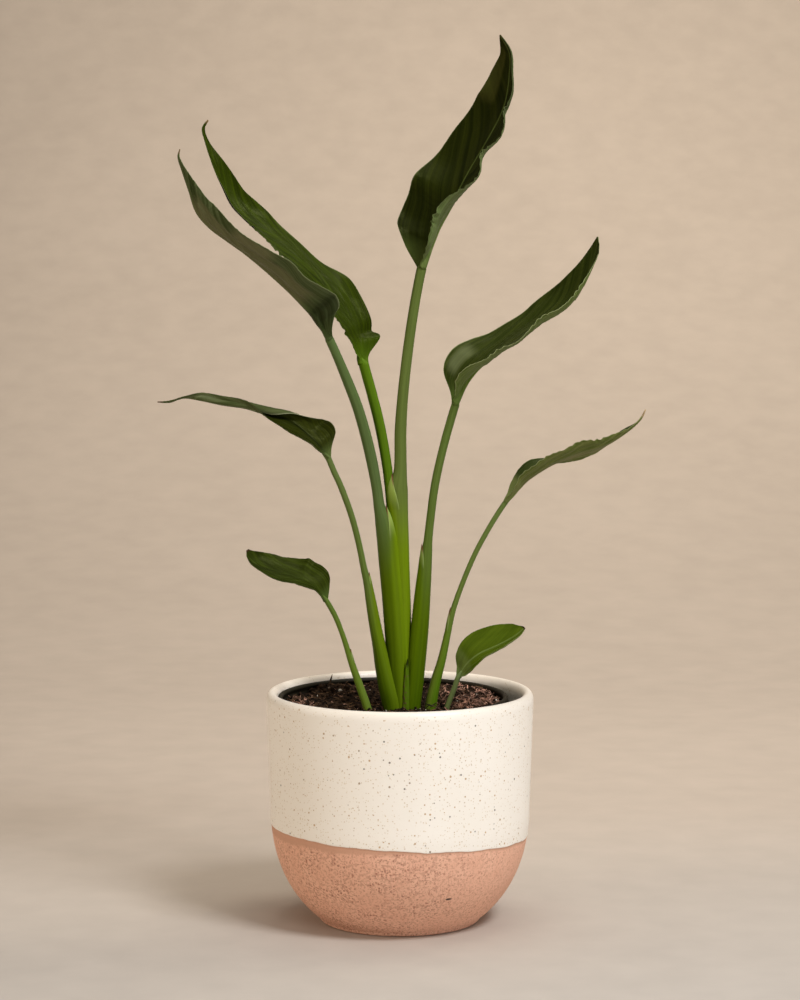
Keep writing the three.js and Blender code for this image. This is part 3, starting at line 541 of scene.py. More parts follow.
scaled = add(tree, "VectorMath", {0: offset, 1: [c * MM for c in CHIP_HALF]}, operation="DIVIDE").outputs[0]
away = add(tree, "VectorMath", {0: scaled}, operation="LENGTH").outputs["Value"]
chip = add(tree, "MapRange", {0: away, 1: 1.1, 2: 0.8, 3: 0.0, 4: 1.0}).outputs[0]
marked = add(tree, "MixRGB", {0: chip, 1: gritty, 2: colour("#2A2420")}).outputs[0]
pits = add(tree, "MapRange", {0: grains, 1: 0.0, 2: 1.0, 3: 1.0, 4: 0.0}).outputs[0]
bump = add(tree, "Bump", {"Height": pits, "Strength": 0.35, "Distance": 0.4 * MM}).outputs[0]
fill(tree, shader, {"Base Color": marked, "Normal": bump})
print("clay nodes:", len(tree.nodes))

# %% Make the pot
rings = np.array(pot_rings)
below = np.array(below_line)
from_left = (1 - across) / 2
band_width = 1.2 + 4.6 * step(0.45, 0.8, from_left) + 0.5 * waves(angles, 0.7, 31)
band_value = 1 - step(band_width - 0.7, band_width + 1.2, below)
quads_glazed = np.repeat(np.array(on_glaze[1:]), POT_SIDES)
make_piece(
    "stoneware_pot", ring_body(rings), [clay, glaze], "ceramic_pot",
    values={"band": band_value}, material_of=list(quads_glazed) + [0, 1])

# %% [markdown]
# ## The nursery pot
#
# Growers' pots are blown from thin recycled polypropylene, dark grey-green and a little waxy. Only the
# rim shows inside the stoneware pot. It is built from the same kind of rings, with a rolled bead on
# its rim, and the drain holes are cut through its floor with a Boolean modifier, which is the plain
# way to make a round hole in a finished wall.

# %% Nursery pot
NURSERY_LOW, NURSERY_HIGH = (np.array(corner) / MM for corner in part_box("nursery_pot"))
NURSERY_X = (NURSERY_LOW[0] + NURSERY_HIGH[0]) / 2
NURSERY_TOP, NURSERY_BOTTOM = NURSERY_HIGH[2], NURSERY_LOW[2]
RIM_RADIUS, NECK_RADIUS, BASE_RADIUS = (NURSERY_HIGH[0] - NURSERY_LOW[0]) / 2, 82.5, 50.0
NURSERY_WALL, BAND = 1.5, 9.0
BEAD = 1.9
DRAIN_HOLES, DRAIN_RADIUS, DRAIN_RING = 6, 4.0, 34.0
NURSERY_SIDES = 160
# How far apart the spots of dried dust and scuffs lie, in mm.
PLASTIC_SCUFFS = 11.1

plastic, tree, shader, place = start_material("blown_polypropylene", roughness=0.55, ior=1.49)
haze = add(tree, "TexNoise", {"Vector": place, "Scale": every(PLASTIC_SCUFFS), "Detail": 4.0}).outputs["Fac"]
dusty = add(tree, "MixRGB", {0: haze, 1: colour("#16130C"), 2: colour("#2C271A")}).outputs[0]
scuffs = add(tree, "MapRange", {0: haze, 1: 0.35, 2: 0.65, 3: 0.5, 4: 0.7}).outputs[0]
bump = add(tree, "Bump", {"Height": haze, "Strength": 0.15, "Distance": 0.3 * MM}).outputs[0]
fill(tree, shader, {"Base Color": dusty, "Roughness": scuffs, "Normal": bump, "Specular IOR Level": 0.15})


def nursery_outline():
    """Radius and height from the middle of the floor's underside, round the rim, to its inside."""
    band_foot = NURSERY_TOP - BAND
    outside = [[10, NURSERY_BOTTOM], [BASE_RADIUS - 2, NURSERY_BOTTOM]]
    outside += [[BASE_RADIUS, NURSERY_BOTTOM + 0.6], [BASE_RADIUS + 5, NURSERY_BOTTOM + 6]]
    outside += [[NECK_RADIUS, band_foot - 1], [NECK_RADIUS + 0.6, band_foot]]
    outside += [[RIM_RADIUS, band_foot + 0.4], [RIM_RADIUS, NURSERY_TOP - 2 * BEAD]]
    bead = []
    for turn in np.radians(np.arange(-20, 201, 20)):
        middle = RIM_RADIUS - BEAD
        bead.append([middle + BEAD * math.cos(turn), NURSERY_TOP - BEAD + BEAD * math.sin(turn)])
    inside = [[r - NURSERY_WALL, z + NURSERY_WALL * 0.5] for r, z in outside[::-1]]
    inside[-1] = [10, NURSERY_BOTTOM + NURSERY_WALL]
    inside[-2] = [BASE_RADIUS - 3, NURSERY_BOTTOM + NURSERY_WALL]
    return np.array(outside + bead + inside)


outline = nursery_outline()
turns = np.arange(NURSERY_SIDES) * 2 * np.pi / NURSERY_SIDES
rings = np.stack([
    outline[:, :1] * np.cos(turns) + NURSERY_X,
    outline[:, :1] * np.sin(turns),
    np.broadcast_to(outline[:, 1:], (len(outline), NURSERY_SIDES))], -1)
nursery = make_piece("nursery_pot_shell", ring_body(rings), [plastic], "nursery_pot")

drills = bpy.data.collections.new("drills")
for i in range(DRAIN_HOLES):
    turn = 2 * math.pi * i / DRAIN_HOLES
    spot = (NURSERY_X + DRAIN_RING * math.cos(turn), DRAIN_RING * math.sin(turn), NURSERY_BOTTOM)
    bpy.ops.mesh.primitive_cylinder_add(
        vertices=32, radius=DRAIN_RADIUS * MM, depth=0.01, location=[c * MM for c in spot])
    drills.objects.link(bpy.context.object)
    bpy.context.scene.collection.objects.unlink(bpy.context.object)
cut = nursery.modifiers.new("drain holes", "BOOLEAN")
cut.operand_type = "COLLECTION"
cut.collection = drills
cut.solver = "EXACT"
bpy.context.view_layer.update()
finished = nursery.evaluated_get(bpy.context.evaluated_depsgraph_get())
drilled = bpy.data.meshes.new_from_object(finished)
nursery.modifiers.clear()
nursery.data = drilled
for drill in list(drills.objects):
    bpy.data.objects.remove(drill)
bpy.data.collections.remove(drills)
print("nursery pot faces after drilling:", len(drilled.polygons))

# %% [markdown]
# ## The soil
#
# Potting mix is peat, coir fibre, shredded bark and white perlite. Its look comes from loose pieces of
# four kinds lying on a rough bed. A particle system would scatter them, but its copies are lost when
# the model is exported, so each kind is one mesh, filled by a loop that draws a place, a turn and a
# size for every crumb. The bed follows the height of the construction model: low round the stalks, up
# at the edge, with heaps against the rim on both sides.

# %% The bed of soil
SOIL_TOP, SOIL_DISH = 155.6, 4.4
# Each heap: x, y, spread and height.
SOIL_HEAPS = [
    (56, 42, 27, 5.0), (-66, 4, 20, 3.4), (-47, 55, 17, 5.0),
    (12, -14, 15, 2.6), (-12, 76, 32, 4.5), (36, 74, 22, 2.5)]
SOIL_EDGE = RIM_RADIUS - NURSERY_WALL - 0.3
SOIL_SIDES = 360
# Below its top the bed follows the pot's wall down to its floor: radius and height.
BAND_FOOT = NURSERY_TOP - BAND + NURSERY_WALL + 0.6
SOIL_WALL = [
    (SOIL_EDGE, BAND_FOOT), (NECK_RADIUS - 2.2, BAND_FOOT - 0.6),
    (BASE_RADIUS + 2.5, NURSERY_BOTTOM + 8), (BASE_RADIUS - 4, NURSERY_BOTTOM + 2.2)]
# Peat grains are under 1 mm, too fine to show, so they are drawn this far apart, in mm.
PEAT_GRAINS = 2.38


def soil_height(x, y):
    """Height of the soil's top, with x from the middle of the nursery pot."""
    dish = SOIL_DISH * (np.hypot(x, y) / RIM_RADIUS) ** 3
    heaps = 0
    for middle_x, middle_y, spread, rise in SOIL_HEAPS:
        heaps = heaps + rise * np.exp(-((x - middle_x) ** 2 + (y - middle_y) ** 2) / spread**2)
    lumps = 0.7 * waves_2d(x, y, 34, 41) + 0.6 * waves_2d(x, y, 13, 42)
    return SOIL_TOP + dish + heaps + lumps


def soil_crumble(x, y):
    """Small sharp unevenness on top of the lumps."""
    rough = np.abs(waves_2d(x, y, 6.5, 43)) + 0.6 * np.abs(waves_2d(x, y, 3.1, 44))
    return 1.1 * rough - 1.2 + 0.3 * waves_2d(x, y, 1.9, 45)


potting_mix, tree, shader, place = start_material("moist_peat_mix", roughness=0.88, ior=1.4)
grain = add(tree, "TexNoise", {"Vector": place, "Scale": every(PEAT_GRAINS), "Detail": 6.0}).outputs["Fac"]
drier = add(tree, "MapRange", {0: grain, 1: 0.38, 2: 0.72, 3: 0.0, 4: 1.0}).outputs[0]
peat = add(tree, "MixRGB", {0: drier, 1: colour("#080402"), 2: colour("#3A2818")}).outputs[0]
bump = add(tree, "Bump", {"Height": grain, "Strength": 0.8, "Distance": 1.0 * MM}).outputs[0]
fill(tree, shader, {"Base Color": peat, "Normal": bump, "Specular IOR Level": 0.15})

turns = np.arange(SOIL_SIDES) * 2 * np.pi / SOIL_SIDES
rings = []
for radius in [1.0, *np.arange(2.0, SOIL_EDGE - 0.8, 0.9), SOIL_EDGE]:
    x, y = radius * np.cos(turns), radius * np.sin(turns)
    calm = step(0, 2.5, SOIL_EDGE - radius)
    rings.append(np.stack([x + NURSERY_X, y, soil_height(x, y) + soil_crumble(x, y) * calm], -1))
for radius, height in SOIL_WALL:
    x, y = radius * np.cos(turns), radius * np.sin(turns)
    rings.append(np.stack([x + NURSERY_X, y, np.full_like(x, height)], -1))
make_piece("soil_bed", ring_body(np.array(rings)), [potting_mix], "soil")

# %% [markdown]
# ### Loose pieces on the soil
#
# A crumb is a small ball with twenty or eighty faces, pushed out of shape. A fibre is a thin bent
# tube. A shred of bark is a thin plate, bent along its length. Perlite is a white crumb. They lie
# where the bed is, and their tops stand a little above it. The bark is thickest on the right, and on
# the left a few twigs stick up beside the rim.

# %% Helpers that scatter loose pieces
soil_draw = np.random.default_rng(7)


def ball(divisions):
    """Points on a unit ball and its triangles."""
    bpy.ops.mesh.primitive_ico_sphere_add(subdivisions=divisions, radius=1)
    template = bpy.context.object
    points = np.array([v.co for v in template.data.vertices])
    faces = [list(p.vertices) for p in template.data.polygons]
    bpy.data.objects.remove(template)
    return points, faces


def turned_at_random(points):
    quaternion = soil_draw.normal(size=4)
    w, x, y, z = quaternion / np.linalg.norm(quaternion)
    turn = np.array([
        [1 - 2 * (y * y + z * z), 2 * (x * y - w * z), 2 * (x * z + w * y)],
        [2 * (x * y + w * z), 1 - 2 * (x * x + z * z), 2 * (y * z - w * x)],
        [2 * (x * z - w * y), 2 * (y * z + w * x), 1 - 2 * (x * x + y * y)]])
    return points @ turn.T


def on_soil(x, y, lift):
    """Place on the soil in the object's frame, lift mm above the bed."""
    height = soil_height(x, y) + soil_crumble(x, y) + lift
    return np.stack([np.asarray(x) + NURSERY_X, np.asarray(y), height], -1)


def gather(parts):
    """Joins many small bodies into one list of points and one of faces."""
    points, faces, start = [], [], 0
    for own_points, own_faces in parts:
        points.append(own_points)
        faces += [[start + i for i in face] for face in own_faces]
        start += len(own_points)
    return np.concatenate(points), faces


def random_spot(limit=80.0):
    turn = soil_draw.uniform(0, 2 * math.pi)
    radius = limit * math.sqrt(soil_draw.random())
    return radius * math.cos(turn), radius * math.sin(turn)


def crumb(shape, spot, size, lift):
    points, faces = shape
    lumpy = points * (1 + 0.28 * soil_draw.normal(size=(len(points), 1)).clip(-1.6, 1.6))
    squashed = turned_at_random(lumpy * soil_draw.uniform(0.55, 1.2, 3) * size)
    return squashed + on_soil(spot[0], spot[1], lift * size), faces


print("a small ball has", len(ball(1)[1]), "faces")


# %% Crumbs and perlite
SMALL_CRUMBS, LARGE_CRUMBS, PERLITE_GRAINS = 2600, 420, 90
# Perlite is full of pores. The real ones are 0.1 mm, too fine to show, so they are drawn this coarse.
PERLITE_PORES = 1.11

coarse, fine = ball(1), ball(2)
crumbs = [crumb(coarse, random_spot(), soil_draw.uniform(0.4, 1.3), 0.3) for _ in range(SMALL_CRUMBS)]
crumbs += [crumb(fine, random_spot(), soil_draw.uniform(1.1, 2.6), 0.25) for _ in range(LARGE_CRUMBS)]
make_piece("soil_crumbs", gather(crumbs), [potting_mix])

perlite, tree, shader, place = start_material("expanded_perlite", roughness=0.85, ior=1.5)
pores = add(tree, "TexNoise", {"Vector": place, "Scale": every(PERLITE_PORES), "Detail": 3.0}).outputs["Fac"]
chalky = add(tree, "MixRGB", {0: pores, 1: colour("#B4A694"), 2: colour("#EEE4D6")}).outputs[0]
bump = add(tree, "Bump", {"Height": pores, "Strength": 0.5, "Distance": 0.5 * MM}).outputs[0]
fill(tree, shader, {"Base Color": chalky, "Normal": bump})

# The grains at the left rim, at the back and round the clump's foot: x, y and half size.
PERLITE_SEEN = [
    (-73, -18, 1.5), (-70, -22, 1.1), (-40, 50, 1.5), (53, 30, 0.7), (64, 0, 0.8), (48, 22, 0.6),
    (-2, -34, 0.9), (6, -36, 0.8), (20, -36, 1.0), (26, -30, 0.8), (32, -24, 0.9), (12, -38, 0.7),
    (-5, -12, 0.6), (2, -13, 0.5), (8, -13, 0.7), (17, -13, 0.6), (20, -11, 0.8), (24, -12, 0.5)]
white = [crumb(fine, (x, y), size, 0.7) for x, y, size in PERLITE_SEEN]
white += [crumb(fine, random_spot(), soil_draw.uniform(0.3, 0.8), 0.5) for _ in range(PERLITE_GRAINS)]
make_piece("soil_perlite", gather(white), [perlite])


# %% Fibres
def fibre(spot, length, thickness, lift, rise=None, turn=None):
    """A thin bent tube with four sides, lying near the soil unless it is given a rise and a turn."""
    any_turn, lie = soil_draw.uniform(0, 2 * math.pi), soil_draw.normal(0, 0.25)
    rise = lie if rise is None else rise
    turn = any_turn if turn is None else turn
    bend = soil_draw.normal(0, 1.2)
    steps = 7
    heading = turn + bend * np.linspace(-0.5, 0.5, steps)
    stride = length / (steps - 1)
    way = np.stack([np.cos(heading), np.sin(heading), np.full(steps, rise)], -1) * stride
    middle = np.cumsum(way, 0) - way.sum(0) / 2
    side = unit(np.cross(way, [0, 0, 1.0]))
    up = unit(np.cross(side, way))
    taper = thickness * np.sin(np.linspace(0.25, math.pi - 0.25, steps))[:, None]
    rings = np.stack([middle + way_out * taper for way_out in (side, up, -side, -up)], 1)
    points, faces = ring_body(rings)
    return points + on_soil(spot[0], spot[1], lift), faces


# Twigs at the back left and across the foot of a stalk on the right: x, y, length, half thickness,
# how far their middle stands above the bed, slope and turn.
TWIGS = [
    (-48, 67, 3.4, 0.8, 2.4, 3.0, 0.2), (-37, 67, 5, 0.4, 1.6, 0.8, 0.4), (-33, 66, 4, 0.4, 1.2, 0.5, 2.6),
    (-42, 60, 6, 0.4, 1.0, 0.3, 0.1), (27, -10, 9, 0.45, 5.0, -0.35, 0.1), (30, -9, 7, 0.4, 5.5, 0.6, 0.4),
    (25, -11, 6, 0.35, 3.0, 0.9, 0.3), (33, -7, 6, 0.4, 4.0, -0.5, 0.2)]
LOOSE_FIBRES = 1500
# How far apart the changes of tone lie from fibre to fibre, in mm.
COIR_TONES = 8.33

coir, tree, shader, place = start_material("coir_fibre", roughness=0.75, ior=1.45)
tint = add(tree, "TexNoise", {"Vector": place, "Scale": every(COIR_TONES), "Detail": 1.0}).outputs["Fac"]
paler = add(tree, "MapRange", {0: tint, 1: 0.40, 2: 0.68, 3: 0.0, 4: 1.0}).outputs[0]
husk = add(tree, "MixRGB", {0: paler, 1: colour("#1C120A"), 2: colour("#7C5E42")}).outputs[0]
fill(tree, shader, {"Base Color": husk, "Specular IOR Level": 0.2})
fibres = [
    fibre(random_spot(), soil_draw.uniform(4, 13), soil_draw.uniform(0.12, 0.32), 0.8)
    for _ in range(LOOSE_FIBRES)]
fibres += [fibre((x, y), *shape) for x, y, *shape in TWIGS]
make_piece("soil_fibres", gather(fibres), [coir])


# %% Bark shreds
def shred(spot, length, width, lift):
    """A thin bent plate with ragged ends."""
    steps = 5
    along = np.linspace(-0.5, 0.5, steps)
    half = width / 2 * np.sin(np.linspace(0.5, math.pi - 0.4, steps)) * soil_draw.uniform(0.7, 1.2, steps)
    curl = soil_draw.normal(0, 0.15) * length * along**2 * 4
    columns = np.linspace(-1, 1, 3)
    sheet = np.stack([
        np.repeat(along[:, None] * length, 3, 1),
        half[:, None] * columns,
        curl[:, None] - 0.2 * width * columns**2], -1)
    points, faces = shell_body(sheet + [0, 0, 0.18], sheet - [0, 0, 0.18])
    turn = soil_draw.uniform(0, 2 * math.pi)
    tilt = soil_draw.normal(0, 0.35)
    x = points[:, 0] * math.cos(tilt) - points[:, 2] * math.sin(tilt)
    z = points[:, 0] * math.sin(tilt) + points[:, 2] * math.cos(tilt)
    y = points[:, 1]
    turned_x = x * math.cos(turn) - y * math.sin(turn)
    turned_y = x * math.sin(turn) + y * math.cos(turn)
    laid = np.stack([turned_x, turned_y, z], -1)
    return laid + on_soil(spot[0], spot[1], lift), faces


BARK_SHREDS = 1000
# How far apart the changes of tone lie from shred to shred, in mm.
BARK_TONES = 6.25
# Where the bark lies: the share of shreds up to here, then the middle and the spread in x and in y.
BARK_HEAPS = [(0.74, (60, 12), (12, 24)), (0.84, (-66, 6), (-6, 14))]
BARK_REACH = 79

bark, tree, shader, place = start_material("shredded_pine_bark", roughness=0.8, ior=1.45)
tint = add(tree, "TexNoise", {"Vector": place, "Scale": every(BARK_TONES), "Detail": 2.0}).outputs["Fac"]
paler = add(tree, "MapRange", {0: tint, 1: 0.38, 2: 0.64, 3: 0.0, 4: 1.0}).outputs[0]
torn = add(tree, "MixRGB", {0: paler, 1: colour("#24180F"), 2: colour("#D09E86")}).outputs[0]
fill(tree, shader, {"Base Color": torn, "Specular IOR Level": 0.2})


def bark_spot():
    """Mostly on the heap at the right, some at the left edge, a few anywhere."""
    which = soil_draw.random()
    for up_to, in_x, in_y in BARK_HEAPS:
        if which < up_to:
            x, y = soil_draw.normal(*in_x), soil_draw.normal(*in_y)
            break
    else:
        x, y = random_spot()
    shrink = min(1, BARK_REACH / math.hypot(x, y))
    return x * shrink, y * shrink


shreds = [
    shred(bark_spot(), soil_draw.uniform(2.5, 8), soil_draw.uniform(0.35, 1.1), 0.9)
    for _ in range(BARK_SHREDS)]
make_piece("soil_bark", gather(shreds), [bark])

# %% [markdown]
# ## The leaves' curves
#
# Each leaf is one curve from its root to its tip. The rows below are the same as in the construction
# model, so the fine leaf lies where the plain one is. A stalk row holds x, y and z in millimetres, then
# the half-width seen from the front and the half-depth: the low wide rows are the sheath. A blade row
# holds x, y and z of the midrib, then the half-width from midrib to margin, then how far the far and
# the near margin stand above the midrib, seen from the front. What is left of the half-width goes into
# depth, so these two numbers fold the blade.

# %% Rows of the eight stalks
STALKS = {
    "leaf_1": [
        [2.5, 0, 138, 5.8, 5.8], [2.5, 0, 160, 6.8, 6.4], [2.2, 0, 180, 6.9, 6.4],
        [1.9, 0, 200, 6.9, 6.4], [1.3, 0, 220, 7.0, 6.4], [0.7, 0, 240, 7.1, 6.4],
        [0.0, 0, 260, 7.1, 6.4], [-0.6, 0, 280, 7.2, 6.4], [-1.2, 0, 300, 7.2, 6.3],
        [-1.8, 0, 320, 7.5, 6.2], [-0.2, 0, 332, 5.3, 4.8], [0.1, 0.5, 345, 4.7, 4.6],
        [0.1, 1, 362, 4.6, 4.5], [1.3, 1, 382, 4.3, 4.3], [3.2, 1, 402, 4.1, 4.1],
        [5.6, 2, 422, 4.0, 4.0], [8.4, 2, 442, 3.9, 3.9], [11.7, 3, 462, 3.8, 3.8]],
    "leaf_2": [
        [0.5, 0, 140, 3.0, 3.0], [0, 0, 165, 3.2, 3.2], [-0.8, 0, 190, 3.3, 3.3],
        [-1.6, 0, 215, 3.4, 3.4], [-2.6, 0, 240, 3.5, 3.5], [-3.6, 0, 265, 3.6, 3.6],
        [-4.8, 0, 290, 3.7, 3.7], [-6.6, 0.5, 312, 3.8, 3.7], [-8.4, 1, 330, 3.8, 3.8],
        [-11.4, 2, 350, 3.9, 3.9], [-15.4, 4, 370, 4.0, 4.0], [-20.5, 7, 390, 4.0, 4.0]],
    "leaf_3": [
        [-0.3, -0.5, 140, 7.0, 8.0], [-0.8, -0.5, 165, 7.8, 8.6], [-1.6, -0.5, 185, 8.2, 8.8],
        [-2.3, -0.5, 205, 8.4, 8.8], [-3.5, -0.5, 225, 8.6, 8.8], [-5.0, -0.5, 245, 8.6, 8.7],
        [-6.9, -0.5, 265, 8.6, 8.6], [-8.6, -1, 282, 8.3, 8.2], [-11.4, -1, 296, 6.9, 7.2],
        [-14.8, -1, 307, 4.5, 5.0], [-16.6, -1, 320, 4.1, 4.2], [-19.8, -2, 338, 4.3, 4.2],
        [-24.3, -3, 358, 4.3, 4.2], [-30.6, -4, 380, 4.1, 4.0], [-38.2, -5, 400, 3.9, 3.8],
        [-45.2, -7, 417, 3.5, 3.4]],
    "leaf_4": [
        [8.6, -3, 140, 5.6, 6.0], [8.9, -3, 160, 6.3, 6.6], [11.0, -3, 180, 6.6, 6.8],
        [13.0, -3, 200, 6.6, 6.8], [14.7, -3, 220, 6.5, 6.6], [16.3, -2.5, 240, 6.0, 6.2],
        [17.9, -2, 258, 5.2, 5.4], [19.3, -1, 272, 4.3, 4.6], [20.5, -1, 284, 3.4, 3.4],
        [22.3, 0, 300, 3.2, 3.2], [24.9, 0, 320, 3.2, 3.2], [28.9, 0, 340, 3.2, 3.2],
        [34.2, 0, 361, 3.2, 3.2]],
    "leaf_5": [
        [-4.8, -3.5, 140, 6.4, 7.0], [-5.8, -3.5, 160, 7.2, 7.8], [-9.0, -3.5, 175, 7.0, 7.9],
        [-12.4, -3, 190, 6.1, 7.4], [-15.4, -3, 205, 4.9, 6.6], [-18.3, -2.5, 220, 4.4, 5.4],
        [-21.1, -2, 236, 3.9, 4.4], [-23.6, -1, 250, 3.2, 3.4], [-26.4, -1, 262, 2.6, 2.7],
        [-30.1, 0, 280, 2.4, 2.4], [-35.3, 0, 300, 2.4, 2.4], [-42.4, 0, 320, 2.4, 2.4],
        [-48.2, 0, 333, 2.3, 2.3]],
    "leaf_6": [
        [20.8, -2, 140, 3.8, 4.2], [22.7, -2, 160, 4.3, 4.8], [26.0, -2, 177, 3.8, 4.4],
        [30.7, -2, 194, 3.1, 3.6], [34.9, -1, 213, 2.5, 2.8], [38.7, -1, 230, 2.2, 2.3],
        [45.6, 0, 250, 2.0, 2.1], [55.3, 0, 273.0, 2.0, 2.0], [67.0, 0, 294.5, 2.0, 2.0]],
    "leaf_7": [
        [-20.1, -7, 142, 2.7, 2.8], [-24.3, -8, 160, 3.0, 3.1], [-29.7, -9, 176, 2.8, 2.9],
        [-35.7, -11, 194, 2.4, 2.5], [-41.1, -13, 212, 2.0, 2.0], [-46.9, -15, 227.6, 2.0, 2.0]],
    "leaf_8": [
        [30.2, -5, 145, 2.1, 2.0], [34.8, -6, 160, 2.0, 1.9], [39.3, -8, 172.5, 2.0, 1.9]],
}
print("stalk rows:", sum(len(rows) for rows in STALKS.values()))

# %% Rows of the eight blades
BLADES = {
    "leaf_1": [
        [15.5, 3, 481, 4.0, 3.0, 2.0], [19.0, 4, 492, 17, 16, 1.5], [23.0, 4, 502, 29, 27, 2.5],
        [27.8, 5, 512, 34, 28.6, 7], [33.7, 5, 522, 37, 31.2, 6.8], [40.6, 6, 534, 38, 33.2, 1],
        [49, 7, 550, 37, 26.8, -6.4], [57, 8, 563.5, 35, 25, -1], [66, 8, 579, 32, 22.1, -5.8],
        [73, 9, 592.5, 28, 21.5, -1], [77, 9, 604.5, 24, 19.5, -2.4], [79.2, 10, 620, 17, 14.2, -1.2],
        [79.4, 10, 636, 9.4, 7.6, -1.2], [72.5, 10, 649.5, 0.8, 0.5, -0.3]],
    "leaf_2": [
        [-26.3, 10, 411, 4.0, 3.2, -1], [-27.2, 11, 419, 8.5, 5, -5], [-29.5, 13, 428, 17.5, 15, -6.5],
        [-31.2, 14, 433, 18.5, 10.3, -7.5], [-33.6, 15, 440, 20, 12.7, -8.5],
        [-42.2, 18, 453, 21.5, 14.5, -9], [-52.3, 20, 465, 22, 16.0, -8.5],
        [-64.4, 21, 480, 20.5, 8.3, -8], [-77.4, 22, 494.5, 19, 5.0, -9],
        [-90.5, 22, 504.5, 18, 7.2, -7.1], [-102.6, 22, 512.5, 17.5, 10.7, -4.8],
        [-113.6, 22, 519.5, 17, 12.4, -0.9], [-122.7, 22, 529, 15, 12.3, -0.7],
        [-129.2, 22, 543, 11.5, 9.2, -1.4], [-134.8, 21, 557, 7.5, 5.8, -1.8],
        [-141.0, 21, 572, 3.4, 2, -1.3], [-143.6, 20, 582, 1.8, 1, -0.8],
        [-140.0, 20, 588.5, 0.8, 0.4, -0.4]],
    "leaf_3": [
        [-51.0, -8, 430, 3.4, 2.4, 2.6], [-54.4, -9, 437, 12, 4, 5.5], [-59.0, -10, 442.5, 20, 8, 16.6],
        [-63.2, -11, 448.3, 24, 9, 21.8], [-69.1, -12, 454.7, 28, 9, 20],
        [-78.9, -12, 464.6, 30, 8, 15.7], [-89.9, -12, 474.5, 31, 8, 17.2],
        [-100.9, -12, 483.9, 31, 7, 13.8], [-112.7, -12, 493.2, 30, 6, 11.3],
        [-125.5, -12, 502.0, 27, 7, 12.4], [-137.8, -12, 511.0, 23, 8, 14.4],
        [-147.1, -12, 522.0, 18, 8, 14.2], [-152.0, -12, 536.6, 12.5, 4, 8.2],
        [-157.1, -12, 551.6, 6, 1.8, 3.6], [-160.0, -11, 561, 2.4, 0.8, 1.5],
        [-158.8, -10, 567, 0.8, 0.4, 0.4]],
    "leaf_4": [
        [40.3, 0, 382, 3.2, 2.6, 2.4], [43.3, 0, 390, 11, 8, 3.5], [47.6, 0, 398, 22.5, 18.8, 8],
        [54, 0, 406.5, 29, 21.5, 7], [62.5, 0, 414.7, 31, 17.5, 2.7], [72, 0, 422.5, 31, 12.7, 1.6],
        [82, 0, 430.3, 31, 10.2, -1.8], [93, 0, 437.6, 30, 10, 0.4], [104, 0, 443.7, 29, 12.6, 4],
        [116, 0, 451, 27, 14.2, 2.8], [125.8, 0, 459.7, 23, 14.2, 2.2], [133, 0, 470.5, 18, 11.8, 1.8],
        [138.3, 0, 482.3, 12, 8.2, -0.4], [141.9, 0, 493.2, 7, 4.8, -2.2],
        [143.5, 0, 504, 0.8, 0.4, -0.4]],
    "leaf_5": [
        [-52.2, 0, 342.5, 2.5, 1.9, 1.0], [-55.0, 0, 347.3, 9, 6.3, -1.2],
        [-58.2, 0, 351.1, 16, 15, -1.6], [-62.4, 0, 355.5, 19.5, 17.4, -1.4],
        [-67, 0, 359.9, 20, 14.4, -3.4], [-73.5, 0, 365.6, 18, 9.4, -5.7],
        [-82, 0, 370.9, 14, 6.0, -6.3], [-94, 0, 374.2, 10, 5.6, -3.0], [-104, 0, 376.8, 8.7, 5.4, 2.6],
        [-114, 0, 379.4, 8.7, 5.0, 6.2], [-130, 0, 381.6, 8.4, 4.8, 7.0],
        [-146, 0, 384.9, 7.4, 4.6, 6.2], [-158, 0, 386.6, 5, 1, 1.2], [-168, 0, 383.4, 2.8, 0.8, 1.6],
        [-177, 0, 383.6, 0.8, 0.4, 0.5]],
    "leaf_6": [
        [77.3, 0, 310.5, 2.3, 1.8, 1.4], [82, 0, 315.8, 7, 3.5, 1.8], [87, 0, 321.3, 13, 6.3, 3.8],
        [93, 0, 327, 18, 8.5, 7], [101.5, 0, 332.8, 21, 8.4, 8], [111, 0, 338.2, 22, 3.5, 8.4],
        [121, 0, 342.4, 22, -3.6, 8.8], [132, 0, 346, 21, -5.4, 10.2], [143.2, 0, 348.7, 19, -2, 9.2],
        [153.4, 0, 353.5, 15.5, 2, 6.9], [163.6, 0, 360.1, 10.5, 2.2, 3.7],
        [171.7, 0, 366.5, 5.8, 1, 2.0], [176.8, 0, 372.1, 2.9, 0.8, 1.2],
        [179.5, 0, 378.3, 0.8, 0.4, 0.3]],
    "leaf_7": [
        [-53.5, -17, 240.0, 2.0, 1.4, -0.5], [-57.0, -18, 246.0, 8.5, 7.2, -1.2],
        [-61.7, -18, 251.1, 15, 13.6, -1.0], [-68.3, -19, 255.3, 17, 13.0, -2.3],
        [-72.4, -19, 257.1, 17.5, 14.1, -3.2], [-77, -19, 258.7, 17, 11.2, -3.8],
        [-87, -20, 261.6, 15.5, 9.0, -4.4], [-96, -20, 264.6, 14, 9.6, -3.6],
        [-104, -20, 269, 10.5, 7.2, -3.4], [-108.6, -20, 273.4, 6, 4.4, -2.4],
        [-111, -20, 277.6, 1.2, 0.9, -0.7]],
    "leaf_8": [
        [42.6, -10, 182.6, 2.1, 1.5, -1.2], [45.2, -11, 187.6, 7, 4.8, -4.2],
        [48.6, -12, 192.6, 11.5, 10.3, -5], [53.6, -14, 197.6, 15, 13.8, -4.4],
        [60, -15, 201.9, 16.6, 15.1, -2.8], [67.5, -16, 205.3, 16.4, 14.6, -1.0],
        [75, -16, 208.8, 15.2, 13.5, -0.5], [82, -16, 212.6, 12.4, 10.9, -0.4],
        [87.4, -16, 216.5, 8.3, 7.2, -0.6], [91, -16, 220, 1.2, 0.9, -0.7]],
}
